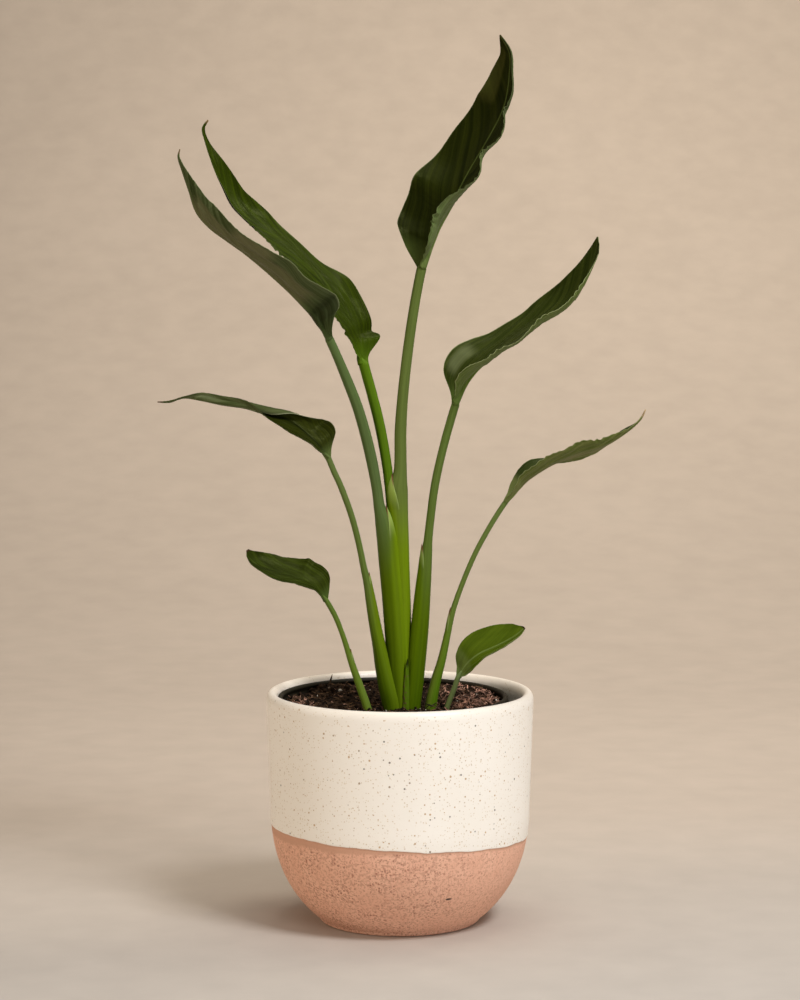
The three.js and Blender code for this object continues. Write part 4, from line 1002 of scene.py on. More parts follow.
# 1 for a leaf whose upper side looks to the left, as it leans to the right, and -1 for the others.
LEANS = {
    "leaf_1": 1, "leaf_2": -1, "leaf_3": -1, "leaf_4": 1,
    "leaf_5": -1, "leaf_6": 1, "leaf_7": -1, "leaf_8": 1}
print("leaves:", len(STALKS), "blade rows:", sum(len(rows) for rows in BLADES.values()))

# %% [markdown]
# A frame travels along each curve: one arrow along the leaf, one into the picture's depth, and one
# towards the leaf's upper side. Blender's own curve frames twist where a curve bends both ways. The
# plant's leaves all lie close to one plane, so an arrow that always points into depth stays steady.


# %% The frame that travels along a leaf
def leaf_frame(name, places):
    rows = np.array([row[:3] for row in STALKS[name] + BLADES[name]], float)
    small = 1e-4
    middle = curve_at(rows, places)
    along = unit(curve_at(rows, places + small) - curve_at(rows, places - small))
    depth = unit(np.array([0, 1.0, 0]) - along * along[:, 1:2])
    up = np.cross(along, depth) * LEANS[name]
    return middle, along, depth, up


def blade_start(name):
    return len(STALKS[name]) / (len(STALKS[name]) + len(BLADES[name]) - 1)


for name in STALKS:
    start = leaf_frame(name, np.array([blade_start(name)]))[0][0]
    print(name, "blade begins at", np.round(start, 1))

# %% [markdown]
# ## Blades
#
# A blade is two thin halves on a midrib. Each half sags a little between midrib and margin, rises in
# slow pleats that follow the side veins, and waves at its margin, where the leaf grew faster than its
# middle. The midrib is a shallow channel above and a rounded keel below. A flat plane with modifiers
# could be bent into this, but each leaf here has its own folds, so every point is placed by formula on
# the leaf's travelling frame. The mesh carries numbers for the material: how far across a point lies,
# its place along the side veins, and whether it is on the upper or the lower side.

# %% Blade settings
BLADE_THICKNESS = 0.5
# How deep a half sags, as a share of its width, and the steepest that it may stand.
TROUGH = 0.09
STEEPEST = 0.97
KEEL_WIDTH, KEEL_NARROWING, KEEL_FADING, NECK_FADE = 0.7, 0.7, 1.6, 0.05
# The groove above the midrib: depth and half-width in mm.
CHANNEL_DEPTH, CHANNEL_HALF = 0.5, 1.4
# Pleats along the side veins: height and length in mm, and a number that picks their waves.
PLEATS = [(0.22, 11, 0), (0.10, 4.2, 50)]
# Long folds beside the midrib: height in mm, length as a share of the half's width.
LONG_FOLD_HEIGHT, LONG_FOLD_LENGTH = 0.45, 0.34
# Length in mm of the waves of a frilled margin and of its small notches.
FRILL_LENGTH, NOTCH_LENGTH = 5.0, 3.0
HALF_COLUMNS = 26
ROW_STEP = 1.1
# Each leaf: its slow wave (height in mm, count, phase), how strongly its near and its far margin are
# crinkled in mm, and how far its side veins run forward for each mm that they run outward.
BLADE_SETTINGS = {
    "leaf_1": ((0.8, 5.3, 0.4), (0.7, 0.05), 1.5), "leaf_2": ((0.6, 6.2, 1.9), (0.7, 0.02), 3.2),
    "leaf_3": ((0.4, 6.6, 3.3), (0.15, 0.1), 2.6), "leaf_4": ((0.3, 5.6, 5.0), (0.45, 0.03), 2.6),
    "leaf_5": ((0.2, 5.1, 2.6), (0.15, 0.1), 3.0), "leaf_6": ((0.5, 5.7, 4.2), (0.4, 0.1), 2.6),
    "leaf_7": ((0.5, 3.6, 0.9), (0.15, 0.1), 2.8), "leaf_8": ((0.3, 3.2, 2.2), (0.1, 0.06), 2.0)}
# The share of the length at which a margin stops being crinkled.
CRINKLE_ENDS = {"leaf_1": 0.78, "leaf_2": 0.66}
# Where a half is rolled over: the leaf, the half, the shares of the length where the roll begins and
# is full, and how many degrees it turns.
ROLLS = {("leaf_5", "far"): (0.25, 0.52, 275)}
# The one near margin whose pale line does not show.
PLAIN_MARGINS = {"leaf_5"}
share_across = 0.5 * (1 - np.cos(np.pi * np.linspace(0, 1, HALF_COLUMNS + 1)))[None, :]
print("columns across a blade:", 2 * HALF_COLUMNS + 1)


# %% One half of a blade
def half_blade(name, frame_here, spans, share, near):
    """Middle surface of one half: points, upward arrows and numbers for the material."""
    middle, along, depth, up = frame_here
    towards, column = (-1, 2) if near else (1, 1)
    reach = spans[:, :1]
    rise = np.clip(spans[:, column:column + 1] / reach, -STEEPEST, STEEPEST)
    heading = np.arcsin(rise) + 0 * share_across
    rolled = np.zeros_like(reach)
    if (name, "near" if near else "far") in ROLLS:
        begins, full, turn = ROLLS[name, "near" if near else "far"]
        rolled = step(begins, full, share)[:, None]
        heading = heading + rolled * np.radians(turn) * share_across
    stride = np.diff(share_across, axis=1)
    between = (heading[:, 1:] + heading[:, :-1]) / 2
    begin = np.zeros_like(reach)
    sideways = np.concatenate([begin, np.cumsum(np.cos(between) * stride, 1)], 1)
    upwards = np.concatenate([begin, np.cumsum(np.sin(between) * stride, 1)], 1)
    height = np.abs(spans[:, column:column + 1])
    fitted = height / np.abs(upwards).max(1, keepdims=True).clip(0.05)
    width = np.where(rolled > 0, fitted, reach)
    tilted, level = (-towards * np.sin(heading))[..., None], np.cos(heading)[..., None]
    upper = tilted * depth[:, None] + level * up[:, None]
    (amplitude, count, phase), crinkles, slant = BLADE_SETTINGS[name]
    seed = int(name[-1]) * 10 + near
    swell = amplitude * np.sin(np.pi * share) ** 0.6
    wave = swell * np.sin(2 * np.pi * count * share + phase + 2.4 * near)
    strides = np.linalg.norm(np.diff(middle, axis=0), axis=1)
    length = np.concatenate([[0], np.cumsum(strides)])[:, None]
    distance = share_across * width
    vein_place = length - slant * distance * (1 + 0.35 * share_across)
    fold = np.sin(np.pi * share_across) ** 0.8 * np.minimum(reach, 30) / 30
    pleat = sum(high * fold * waves(vein_place, long, seed + pick) for high, long, pick in PLEATS)
    long_fold = waves(share_across + 0.08 * share[:, None], LONG_FOLD_LENGTH, seed + 80)
    pleat = pleat + LONG_FOLD_HEIGHT * fold * long_fold
    crinkle = crinkles[0 if near else 1] * np.sin(np.pi * share)[:, None] ** 0.5
    crinkle = crinkle * step(0, -0.06, share - CRINKLE_ENDS.get(name, 2))[:, None]
    frill = crinkle * step(0.78, 1.0, share_across) * waves(length, FRILL_LENGTH, seed + 100)
    notches = step(0.9, 1, share_across) * waves(length, NOTCH_LENGTH, seed + 200)
    ragged = 1 + 0.55 * crinkle / np.maximum(reach, 4) * notches
    sag = TROUGH * width * 4 * share_across * (1 - share_across) * (1 - rolled)
    lift = wave[:, None] * share_across**2 - sag + pleat + frill
    points = middle[:, None] + depth[:, None] * (towards * sideways * width * ragged)[..., None]
    points = points + up[:, None] * (upwards * width * ragged)[..., None] + upper * lift[..., None]
    return points, upper, distance, vein_place


print("halves that roll over:", list(ROLLS))

# %% [markdown]
# Some parts of a leaf are paler, partly from a thicker film of wax and partly as painted sheen, and
# some are painted darker as painted shade. A noise would put such areas anywhere, so here each one is
# a soft-edged patch with a place of its own, kept as two more numbers on the mesh.

# %% Pale bloom, painted sheen and painted shade
# Areas with a pale bloom and painted sheen, and areas of painted shade: how strong, then the shares of
# the length between which each lies, then how far across, from -1 at the near margin to 1 at the far one.
# The two widths are those of an area's soft ends and of its soft sides.
SOFT_END, SOFT_SIDE = 0.06, 0.15
BLOOMS_AND_SHEEN = {
    "leaf_1": [(0.45, 0.70, 0.98, 0.35, 1.1)],
    "leaf_2": [(0.3, 0.47, 0.56, -1.1, -0.7), (0.6, 0.46, 0.58, 0.86, 1.1)],
    "leaf_3": [
        (0.7, 0.10, 0.55, -1.1, -0.93), (0.5, 0.25, 0.8, -0.75, 0.1), (0.6, 0.42, 0.62, -1.05, -0.5)],
    "leaf_4": [(0.4, 0.12, 0.3, 0.45, 0.95)],
    "leaf_5": [(0.7, 0.30, 0.62, 0.88, 1.1), (0.2, 0.7, 0.86, -0.9, 0.9)],
    "leaf_6": [(0.45, -0.1, 0.22, -1.1, 1.1)],
    "leaf_8": [(0.25, -0.1, 0.3, -1.1, 1.1)],
}
PAINTED_SHADES = {
    "leaf_1": [(0.35, -0.1, 0.36, 0.1, 1.1), (0.6, 0.62, 1.2, -1.1, -0.7)],
    "leaf_3": [(0.6, -0.1, 0.26, -1.1, 1.05)],
}


def painted(areas, name, share, signed_across):
    """How much of its areas covers each point of a leaf, with soft ends."""
    total = 0 * share * signed_across
    for strength, begin, end, near_side, far_side in areas.get(name, []):
        lengthwise = step(begin, begin + SOFT_END, share) * (1 - step(end - SOFT_END, end, share))
        after_near = step(near_side, near_side + SOFT_SIDE, signed_across)
        before_far = 1 - step(far_side - SOFT_SIDE, far_side, signed_across)
        total = np.maximum(total, strength * lengthwise * after_near * before_far)
    return total


print("areas with a bloom:", sum(len(areas) for areas in BLOOMS_AND_SHEEN.values()))


# %% A whole blade
def blade(name):
    start = blade_start(name)
    rows = np.array(BLADES[name], float)
    reach_along = np.linalg.norm(np.diff(rows[:, :3], axis=0), axis=1).sum()
    share = np.linspace(0, 1, round(reach_along / ROW_STEP))
    frame_here = leaf_frame(name, start + (1 - start) * share)
    spans = curve_at(rows[:, 3:], share)
    spans[:, 0] = np.maximum(spans[:, 0], 0.5)
    neck = 0.97 * min(rows[0, 3], STALKS[name][-1][3])
    at_neck = np.exp(-share / NECK_FADE)
    keel_share = KEEL_WIDTH + (1 - KEEL_WIDTH) * at_neck
    widest = (0.45 + 0.5 * at_neck) * spans[:, 0]
    keel_half = np.minimum(keel_share * neck * (1 - KEEL_NARROWING * share), widest)[:, None]
    keel_deep = (neck * (1 - share) ** KEEL_FADING)[:, None]
    sheets, numbers = {"upper": [], "lower": []}, []
    for near in (True, False):
        points, upper, distance, vein_place = half_blade(name, frame_here, spans, share, near)
        thick = BLADE_THICKNESS / 2 * (1 - 0.55 * step(0.9, 1, share_across))
        in_keel = np.clip(distance / (1.5 * keel_half), 0, 1)
        keel = keel_deep * np.sqrt(np.clip(1 - in_keel**2, 0, 1))
        channel = CHANNEL_DEPTH * np.exp(-((distance / CHANNEL_HALF) ** 2))
        channel = channel * np.minimum(1, neck * (1 - share[:, None]))
        sheets["upper"].append(points + upper * (thick - channel)[..., None])
        sheets["lower"].append(points - upper * (thick + keel)[..., None])
        numbers.append((np.broadcast_to(share_across, distance.shape), distance, vein_place))
    joined = {}
    for side, (near_half, far_half) in sheets.items():
        middle_line = (near_half[:, :1] + far_half[:, :1]) / 2
        joined[side] = np.concatenate([near_half[:, :0:-1], middle_line, far_half[:, 1:]], 1)
    across, distance, vein = (
        np.concatenate([near_half[:, :0:-1], far_half], 1) for near_half, far_half in zip(*numbers))
    columns = across.shape[1]
    signed_across = across * np.where(np.arange(columns) < HALF_COLUMNS, -1, 1)
    sides = np.repeat([0.0, 1.0], across.size)
    plain = (signed_across < 0) * (name in PLAIN_MARGINS)
    across = across * (0.9 + 0.1 * step(0, 0.06, share)[:, None] * (1 - plain))
    values = {
        "across": np.concatenate([across, across]),
        "midrib": np.concatenate([distance, distance]),
        "vein": np.concatenate([vein, vein]),
        "along": np.tile(np.repeat(share, columns), 2),
        "lower": sides,
        "bloom_and_sheen": np.tile(painted(BLOOMS_AND_SHEEN, name, share[:, None], signed_across), (2, 1)),
        "painted_shade": np.tile(painted(PAINTED_SHADES, name, share[:, None], signed_across), (2, 1)),
    }
    return shell_body(joined["upper"], joined["lower"]), values


print("points on the first blade:", len(blade("leaf_1")[0][0]))

# %% [markdown]
# ## Living leaf
#
# A leaf's upper side is dark, because it holds most of the green, and glossy, because a smooth film of
# wax covers it. The lower side is paler and greyer with a rough bloom of wax. Side veins run in
# parallel from the midrib to the margin, about 1.6 mm apart, and the blade between two groups of them
# differs a little in tone. The margin is a thin pale cord and the tip is dry. A photograph of a leaf
# would hold all that in one picture, but these rules give it from the numbers on the mesh, and each
# leaf gets its own greens.

# %% Leaf skin
VEIN_SPACING = 1.6
# How far apart the broad and the narrow bands of tone along the side veins lie, in mm. The leaf's
# cells are 0.05 mm, too fine to show, so their grain is drawn at the third size.
BROAD_BAND, NARROW_BAND, CELLS = 6.25, 1.667, 1.11
WAX_IOR = 1.42
# A wax film is bumpy below what the mesh shows, so its shine is weak and takes some green.
WAX_SHINE = {"Specular IOR Level": 0.09, "Specular Tint": colour("#DCE488")}
PAINTED_SHADE_TONE = "#080A02"


def leaf_skin(name, upper, lower, keel_tone, stalk_tone, groove, edge_tone, bloom_and_sheen_tone, dry_from, dry_tone):
    material, tree, shader, place = start_material(f"waxy_{name}_skin", roughness=0.4, ior=WAX_IOR)
    read = {key: add(tree, "Attribute", attribute_name=key).outputs["Fac"]
            for key in ("across", "midrib", "vein", "along", "lower", "bloom_and_sheen", "painted_shade")}
    slow = add(tree, "Math", {0: read["along"], 1: 3.0}, operation="MULTIPLY").outputs[0]
    bands = add(tree, "CombineXYZ", {0: read["vein"], 1: read["lower"], 2: slow}).outputs[0]
    broad = add(tree, "TexNoise", {"Vector": bands, "Scale": 1 / BROAD_BAND, "Detail": 2.0}).outputs["Fac"]
    narrow = add(tree, "TexNoise", {"Vector": bands, "Scale": 1 / NARROW_BAND, "Detail": 3.0}).outputs["Fac"]
    both = add(tree, "Math", {0: narrow, 1: 0.6, 2: broad}, operation="MULTIPLY_ADD").outputs[0]
    tone = add(tree, "MapRange", {0: both, 1: 0.60, 2: 1.0, 3: 0.0, 4: 1.0}).outputs[0]
    top = add(tree, "MixRGB", {0: tone, 1: colour(upper[0]), 2: colour(upper[1])}).outputs[0]
    under = add(tree, "MixRGB", {0: tone, 1: colour(lower[0]), 2: colour(lower[1])}).outputs[0]
    turns_per_mm = 2 * math.pi / VEIN_SPACING
    phase = add(tree, "Math", {0: read["vein"], 1: turns_per_mm}, operation="MULTIPLY").outputs[0]
    vein = add(tree, "Math", {0: phase}, operation="COSINE").outputs[0]
    line = add(tree, "MapRange", {0: vein, 1: 0.55, 2: 1.0, 3: 0.0, 4: 0.08}).outputs[0]
    top = add(tree, "MixRGB", {0: line, 1: top, 2: colour(lower[0])}).outputs[0]
    under = add(tree, "MixRGB", {0: line, 1: under, 2: colour(lower[0])}).outputs[0]
    base = add(tree, "MapRange", {0: read["along"], 1: 0.02, 2: 0.14, 3: 1.0, 4: 0.0}).outputs[0]
    ridge = add(tree, "MixRGB", {0: base, 1: colour(keel_tone), 2: colour(stalk_tone)}).outputs[0]
    # The groove's tone along the midrib. On leaf_5 it is a dark painted shadow.
    groove_half, groove_strength, groove_tone = groove
    rib = add(tree, "MapRange", {0: read["midrib"], 1: 0.25, 2: groove_half, 3: groove_strength, 4: 0.0})
    top = add(tree, "MixRGB", {0: rib.outputs[0], 1: top, 2: colour(groove_tone)}).outputs[0]
    keel = add(tree, "MapRange", {0: read["midrib"], 1: 1.5, 2: 3.4, 3: 0.9, 4: 0.0}).outputs[0]
    under = add(tree, "MixRGB", {0: keel, 1: under, 2: ridge}).outputs[0]
    skin = add(tree, "MixRGB", {0: read["lower"], 1: top, 2: under}).outputs[0]
    # Painted shade: the chosen areas are darkened towards a deep green.
    skin = add(tree, "MixRGB", {0: read["painted_shade"], 1: skin, 2: colour(PAINTED_SHADE_TONE)}).outputs[0]
    foot = add(tree, "MapRange", {0: read["along"], 1: 0.0, 2: 0.14, 3: 0.75, 4: 0.0}).outputs[0]
    skin = add(tree, "MixRGB", {0: foot, 1: skin, 2: colour(stalk_tone)}).outputs[0]
    # Pale bloom, partly painted sheen, over the chosen areas.
    skin = add(tree, "MixRGB", {0: read["bloom_and_sheen"], 1: skin, 2: colour(bloom_and_sheen_tone)}).outputs[0]
    edge = add(tree, "MapRange", {0: read["across"], 1: 0.98, 2: 0.998, 3: 0.0, 4: 0.7}).outputs[0]
    skin = add(tree, "MixRGB", {0: edge, 1: skin, 2: colour(edge_tone)}).outputs[0]
    uneven = add(tree, "Math", {0: broad, 1: 0.012, 2: read["along"]}, operation="MULTIPLY_ADD").outputs[0]
    dry = add(tree, "MapRange", {0: uneven, 1: dry_from, 2: dry_from + 0.02, 3: 0.0, 4: 1.0}).outputs[0]
    skin = add(tree, "MixRGB", {0: dry, 1: skin, 2: colour(dry_tone)}).outputs[0]
    gloss = add(tree, "MapRange", {0: read["lower"], 1: 0.0, 2: 1.0, 3: 0.3, 4: 0.5}).outputs[0]
    cells = add(tree, "TexNoise", {"Vector": place, "Scale": every(CELLS), "Detail": 2.0}).outputs["Fac"]
    relief = add(tree, "Math", {0: cells, 1: 0.35, 2: vein}, operation="MULTIPLY_ADD").outputs[0]
    bump = add(tree, "Bump", {"Height": relief, "Strength": 0.22, "Distance": 0.2 * MM}).outputs[0]
    fill(tree, shader, {"Base Color": skin, "Roughness": gloss, "Normal": bump, **WAX_SHINE})
    return material


print("wax film: IOR", WAX_IOR, "and veins every", VEIN_SPACING, "mm")

# %% The eight blades
# Each leaf: upper side dark and light, lower side dark and light, keel, stalk, the groove above the
# midrib (half-width in mm, strength, tone; on leaf_5 a painted shadow), margin, bloom with painted sheen,
# where the dry tip begins, and its colour.
LEAF_TONES = {
    "leaf_1": (("#141803", "#262A08"), ("#48582A", "#687646"), "#707E44", "#56632E",
               (0.9, 0.3, "#7C8E48"), "#5E6840", "#4A4A20", 0.988, "#4A4020"),
    "leaf_2": (("#1A2202", "#303C04"), ("#121902", "#242D04"), "#20280A", "#4A6410",
               (0.9, 0.15, "#40520E"), "#6A7648", "#565F34", 0.975, "#7A6440"),
    "leaf_3": (("#1C220A", "#2C3412"), ("#2F3819", "#4E5636"), "#4A5430", "#4E5E34",
               (0.9, 0.15, "#4A5430"), "#7C8460", "#6A6648", 0.955, "#6A5A40"),
    "leaf_4": (("#222A09", "#363D14"), ("#4A5A20", "#66743C"), "#5E7030", "#566A30",
               (0.9, 0.2, "#5E7030"), "#A2A878", "#7A8058", 1.2, "#3A3A1A"),
    "leaf_5": (("#1D2106", "#30350A"), ("#3A4222", "#525836"), "#4C5630", "#566434",
               (2.2, 0.75, "#0E1204"), "#B4B490", "#8A8F6C", 0.965, "#54402A"),
    "leaf_6": (("#222A0E", "#343E1A"), ("#4E5A26", "#6C703E"), "#706E48", "#5A6838",
               (0.9, 0.2, "#747250"), "#8E9266", "#767C46", 0.93, "#A08A68"),
    "leaf_7": (("#1C2204", "#343E0C"), ("#3A441E", "#545E38"), "#46541E", "#4E602C",
               (0.9, 0.12, "#46541E"), "#4A4A28", "#565A3C", 0.965, "#3A281A"),
    "leaf_8": (("#40500C", "#4E5E12"), ("#5A6A34", "#74824E"), "#74844A", "#5E7044",
               (0.9, 0.5, "#74844A"), "#6E7A3C", "#7A8650", 0.97, "#2A1C14"),
}
for name in BLADES:
    body, values = blade(name)
    skin = leaf_skin(name, *LEAF_TONES[name])
    make_piece(f"{name}_paddle", body, [skin], f"{name}_blade", values)

# %% [markdown]
# ## Stalks and sheaths
#
# A stalk is a round rod with a shallow groove on its upper side. Low down it becomes a sheath, a green
# scroll round the younger stalks, whose two edges meet on the inner side and end in a pointed, paler
# tip with a dry brown rim. A bevelled Blender curve would give the rod but not the scroll, so the
# stalk is made of rings, whose width, depth and edge come from the same rows as the curve.

# %% Stalk settings
STALK_SIDES = 40
STALK_STEP = 2.0
# The groove on a stalk's upper side: depth as a share of its radius, half-width in radians.
GROOVE_DEPTH, GROOVE_WIDTH = 0.12, 0.5
RIBS_ROUND, RIB_HEIGHT = 18, 0.025
# A stalk runs on into its blade by this many mm in this many rings, and sinks below the blade's upper
# side by this share of its radius.
STALK_INTO_BLADE, STALK_END_RINGS, STALK_SINKS = 5.0, 5, 0.35
# Height at which each sheath ends. The second and the last leaf show none.
SHEATH_TIPS = {
    "leaf_1": 326, "leaf_2": 150, "leaf_3": 307, "leaf_4": 278,
    "leaf_5": 258, "leaf_6": 232, "leaf_7": 203, "leaf_8": 150}
# Each hood's tip height, length, half opening in degrees, and how far its tip stands off.
SHEATH_HOODS = {
    "leaf_1": (331, 36, 100, 0.5), "leaf_3": (307, 34, 82, 0.5), "leaf_4": (279, 24, 80, 0.5),
    "leaf_5": (258, 12, 60, 0.4), "leaf_6": (232, 24, 80, 0.3), "leaf_7": (203, 12, 60, 0.3)}
HOOD_POINT, HOOD_THICKNESS = 2.2, 0.45


def sheathed(name, angle, height):
    """1 where the sheath shows and 0 on the free stalk, which comes out of it on the outer side."""
    inner = np.clip(np.cos(angle), 0, 1)
    tip = SHEATH_TIPS[name]
    return 1 - step(0, 1, (height - tip + 60 - 50 * inner) / (56 - 44 * inner))


print("sides of a stalk:", STALK_SIDES)


# %% A stalk
def stalk(name):
    rows = np.array(STALKS[name], float)
    first = BLADES[name][0]
    neck = min(first[3], rows[-1, 3])
    widths = np.vstack([rows[:, 3:], [neck, neck]])
    start = blade_start(name)
    length = np.linalg.norm(np.diff(rows[:, :3], axis=0), axis=1).sum()
    count = round(length / STALK_STEP)
    share = np.linspace(0, 1, count)
    middle, along, depth, up = leaf_frame(name, share * start)
    size = curve_at(widths, share)
    extra = np.linspace(0, 1, STALK_END_RINGS + 1)[1:, None]
    sunk = up[-1] * size[-1, 0] * STALK_SINKS
    middle = np.vstack([middle, middle[-1] + (along[-1] * STALK_INTO_BLADE - sunk) * extra])
    depth, up = (np.vstack([a, np.repeat(a[-1:], STALK_END_RINGS, 0)]) for a in (depth, up))
    size = np.vstack([size, size[-1] * (1 - 0.75 * extra)])
    angle = np.arange(STALK_SIDES) * 2 * np.pi / STALK_SIDES
    from_inner = np.minimum(angle, 2 * np.pi - angle)[None, :]
    height = middle[:, 2:3]
    in_sheath = sheathed(name, angle[None, :], height)
    groove = 1 - GROOVE_DEPTH * np.exp(-((from_inner / GROOVE_WIDTH) ** 2)) * (1 - in_sheath)
    ribs = RIB_HEIGHT * np.cos(RIBS_ROUND * angle)[None, :]
    wide = (size[:, :1] * groove + ribs) * np.cos(angle)
    deep = (size[:, 1:] + ribs) * np.sin(angle)
    rings = middle[:, None] + up[:, None] * wide[..., None] + depth[:, None] * deep[..., None]
    even = np.ones_like(wide)
    values = {
        "height": height * even, "sheath": in_sheath, "round": angle * even,
        "edge": 0 * even, "dry": 0 * even, "pale": 0 * even}
    return ring_body(rings), values


print("points on the first stalk:", len(stalk("leaf_1")[0][0]))


# %% The pointed tip of a sheath
def hood(name):
    """The pointed tip of a sheath, lying on the inner side of its stalk."""
    tip, length, open_angle, proud = SHEATH_HOODS[name]
    rows = np.array(STALKS[name], float)
    neck = min(BLADES[name][0][3], rows[-1, 3])
    share = np.linspace(0, 1, 400)
    middle, along, depth, up = leaf_frame(name, share * blade_start(name))
    size = curve_at(np.vstack([rows[:, 3:], [neck, neck]]), share)
    level = np.linspace(0, 1, 36)
    wanted = tip - length * (1 - level)
    middle, depth, up, size = (
        np.stack([np.interp(wanted, middle[:, 2], column) for column in table.T], -1)
        for table in (middle, depth, up, size))
    across = np.linspace(-1, 1, 29)[None, :]
    half = np.radians(open_angle) * np.sqrt(1 - level[:, None] ** HOOD_POINT) + 0.02
    angle = half * across
    lift = 0.6 * step(0, 0.45, level[:, None]) - 0.5 + proud * level[:, None] ** 1.5
    wide, deep = (size[:, :1] + lift) * np.cos(angle), (size[:, 1:] + lift) * np.sin(angle)
    outer = middle[:, None] + up[:, None] * wide[..., None] + depth[:, None] * deep[..., None]
    inward = -(up[:, None] * np.cos(angle)[..., None] + depth[:, None] * np.sin(angle)[..., None])
    from_edge = (1 - np.abs(across)) * half * size[:, :1]
    edge = np.exp(-((from_edge / 0.8) ** 2)) * step(0.2, 0.45, level[:, None])
    near_tip = step(length * 0.35, 0, tip - wanted)[:, None]
    last_bit = step(1.6, 0.3, tip - wanted)[:, None]
    even = np.ones_like(angle)
    values = {
        "height": wanted[:, None] * even, "round": angle,
        "sheath": np.maximum(sheathed(name, angle, wanted[:, None]), step(0.3, 0.75, level[:, None])),
        "edge": edge, "dry": np.clip(1.5 * edge * near_tip + last_bit, 0, 1) * even,
        "pale": step(0.3, 0.9, level[:, None]) * even}
    both_sides = {key: np.stack([v, v]) for key, v in values.items()}
    return shell_body(outer, outer + inward * HOOD_THICKNESS), both_sides


print("sheaths with a tip that shows:", len(SHEATH_HOODS))

# %% [markdown]
# Stalk skin is tougher than the blade's. The free stalk has a grey-green bloom, and the sheath, which
# grew in the shade of its neighbours, is bright yellow-green. Fine ribs run along both.


# %% Stalk skin
# Heights in mm over which the foot's tone gives way, and over which the sheath's green fades out.
FOOT_TONE_ENDS, SHEATH_TONE_ENDS = (165.0, 235.0), (190.0, 330.0)
# Streaks and ribs: how many lie across a radius, and how long they are in mm.
STREAKS, STREAK_LENGTH = 3.0, 83.3
FINE_RIBS, FINE_RIB_LENGTH = 9.0, 33.3


def stalk_skin(name, free_tone, sheath_tone, base_tone, thin_edge_and_light_tone):
    material, tree, shader, _ = start_material(f"ribbed_{name}_stalk_skin", roughness=0.42, ior=WAX_IOR)
    read = {key: add(tree, "Attribute", attribute_name=key).outputs["Fac"]
            for key in ("height", "sheath", "edge", "dry", "pale", "round")}
    begins, ends = FOOT_TONE_ENDS
    low = add(tree, "MapRange", {0: read["height"], 1: begins, 2: ends, 3: 1.0, 4: 0.0}).outputs[0]
    begins, ends = SHEATH_TONE_ENDS
    rising = add(tree, "MapRange", {0: read["height"], 1: begins, 2: ends, 3: 0.6, 4: 0.0}).outputs[0]
    free = add(tree, "MixRGB", {0: rising, 1: colour(free_tone), 2: colour(sheath_tone)}).outputs[0]
    round_x = add(tree, "Math", {0: read["round"]}, operation="COSINE").outputs[0]
    inner = add(tree, "MapRange", {0: round_x, 1: -0.3, 2: 0.8, 3: 0.0, 4: 1.0}).outputs[0]
    skin = add(tree, "MixRGB", {0: read["sheath"], 1: free, 2: colour(sheath_tone)}).outputs[0]
    skin = add(tree, "MixRGB", {0: low, 1: skin, 2: colour(base_tone)}).outputs[0]
    # The sheath's inner side is paler, from its thin edges and partly as painted light on that side.
    inner = add(tree, "Math", {0: inner, 1: read["sheath"]}, operation="MULTIPLY").outputs[0]
    skin = add(tree, "MixRGB", {0: inner, 1: skin, 2: colour(thin_edge_and_light_tone)}).outputs[0]
    round_y = add(tree, "Math", {0: read["round"]}, operation="SINE").outputs[0]
    grain = add(tree, "CombineXYZ", {0: round_x, 1: round_y, 2: read["height"]}).outputs[0]
    stretched = (STREAKS, STREAKS, 1 / STREAK_LENGTH)
    streaks = add(tree, "Mapping", {"Vector": grain, "Scale": stretched}).outputs[0]
    streak = add(tree, "TexNoise", {"Vector": streaks, "Scale": 1.0, "Detail": 4.0}).outputs["Fac"]
    darker = add(tree, "MapRange", {0: streak, 1: 0.3, 2: 0.7, 3: 0.84, 4: 1.14}).outputs[0]
    skin = add(tree, "VectorMath", {0: skin, 3: darker}, operation="SCALE").outputs[0]
    pale = add(tree, "Math", {0: read["pale"], 1: 0.55}, operation="MULTIPLY").outputs[0]
    skin = add(tree, "MixRGB", {0: pale, 1: skin, 2: colour("#A4B468")}).outputs[0]
    rim = add(tree, "Math", {0: read["edge"], 1: 0.5}, operation="MULTIPLY").outputs[0]
    skin = add(tree, "MixRGB", {0: rim, 1: skin, 2: colour("#8E9A60")}).outputs[0]
    skin = add(tree, "MixRGB", {0: read["dry"], 1: skin, 2: colour("#6A4030")}).outputs[0]
    stretched = (FINE_RIBS, FINE_RIBS, 1 / FINE_RIB_LENGTH)
    ribs = add(tree, "Mapping", {"Vector": grain, "Scale": stretched}).outputs[0]
    fine = add(tree, "TexNoise", {"Vector": ribs, "Scale": 1.0, "Detail": 3.0}).outputs["Fac"]
    bump = add(tree, "Bump", {"Height": fine, "Strength": 0.3, "Distance": 0.3 * MM}).outputs[0]
    fill(tree, shader, {"Base Color": skin, "Normal": bump, **WAX_SHINE})
    return material


print("ribs on a stalk are", FINE_RIB_LENGTH, "mm long")

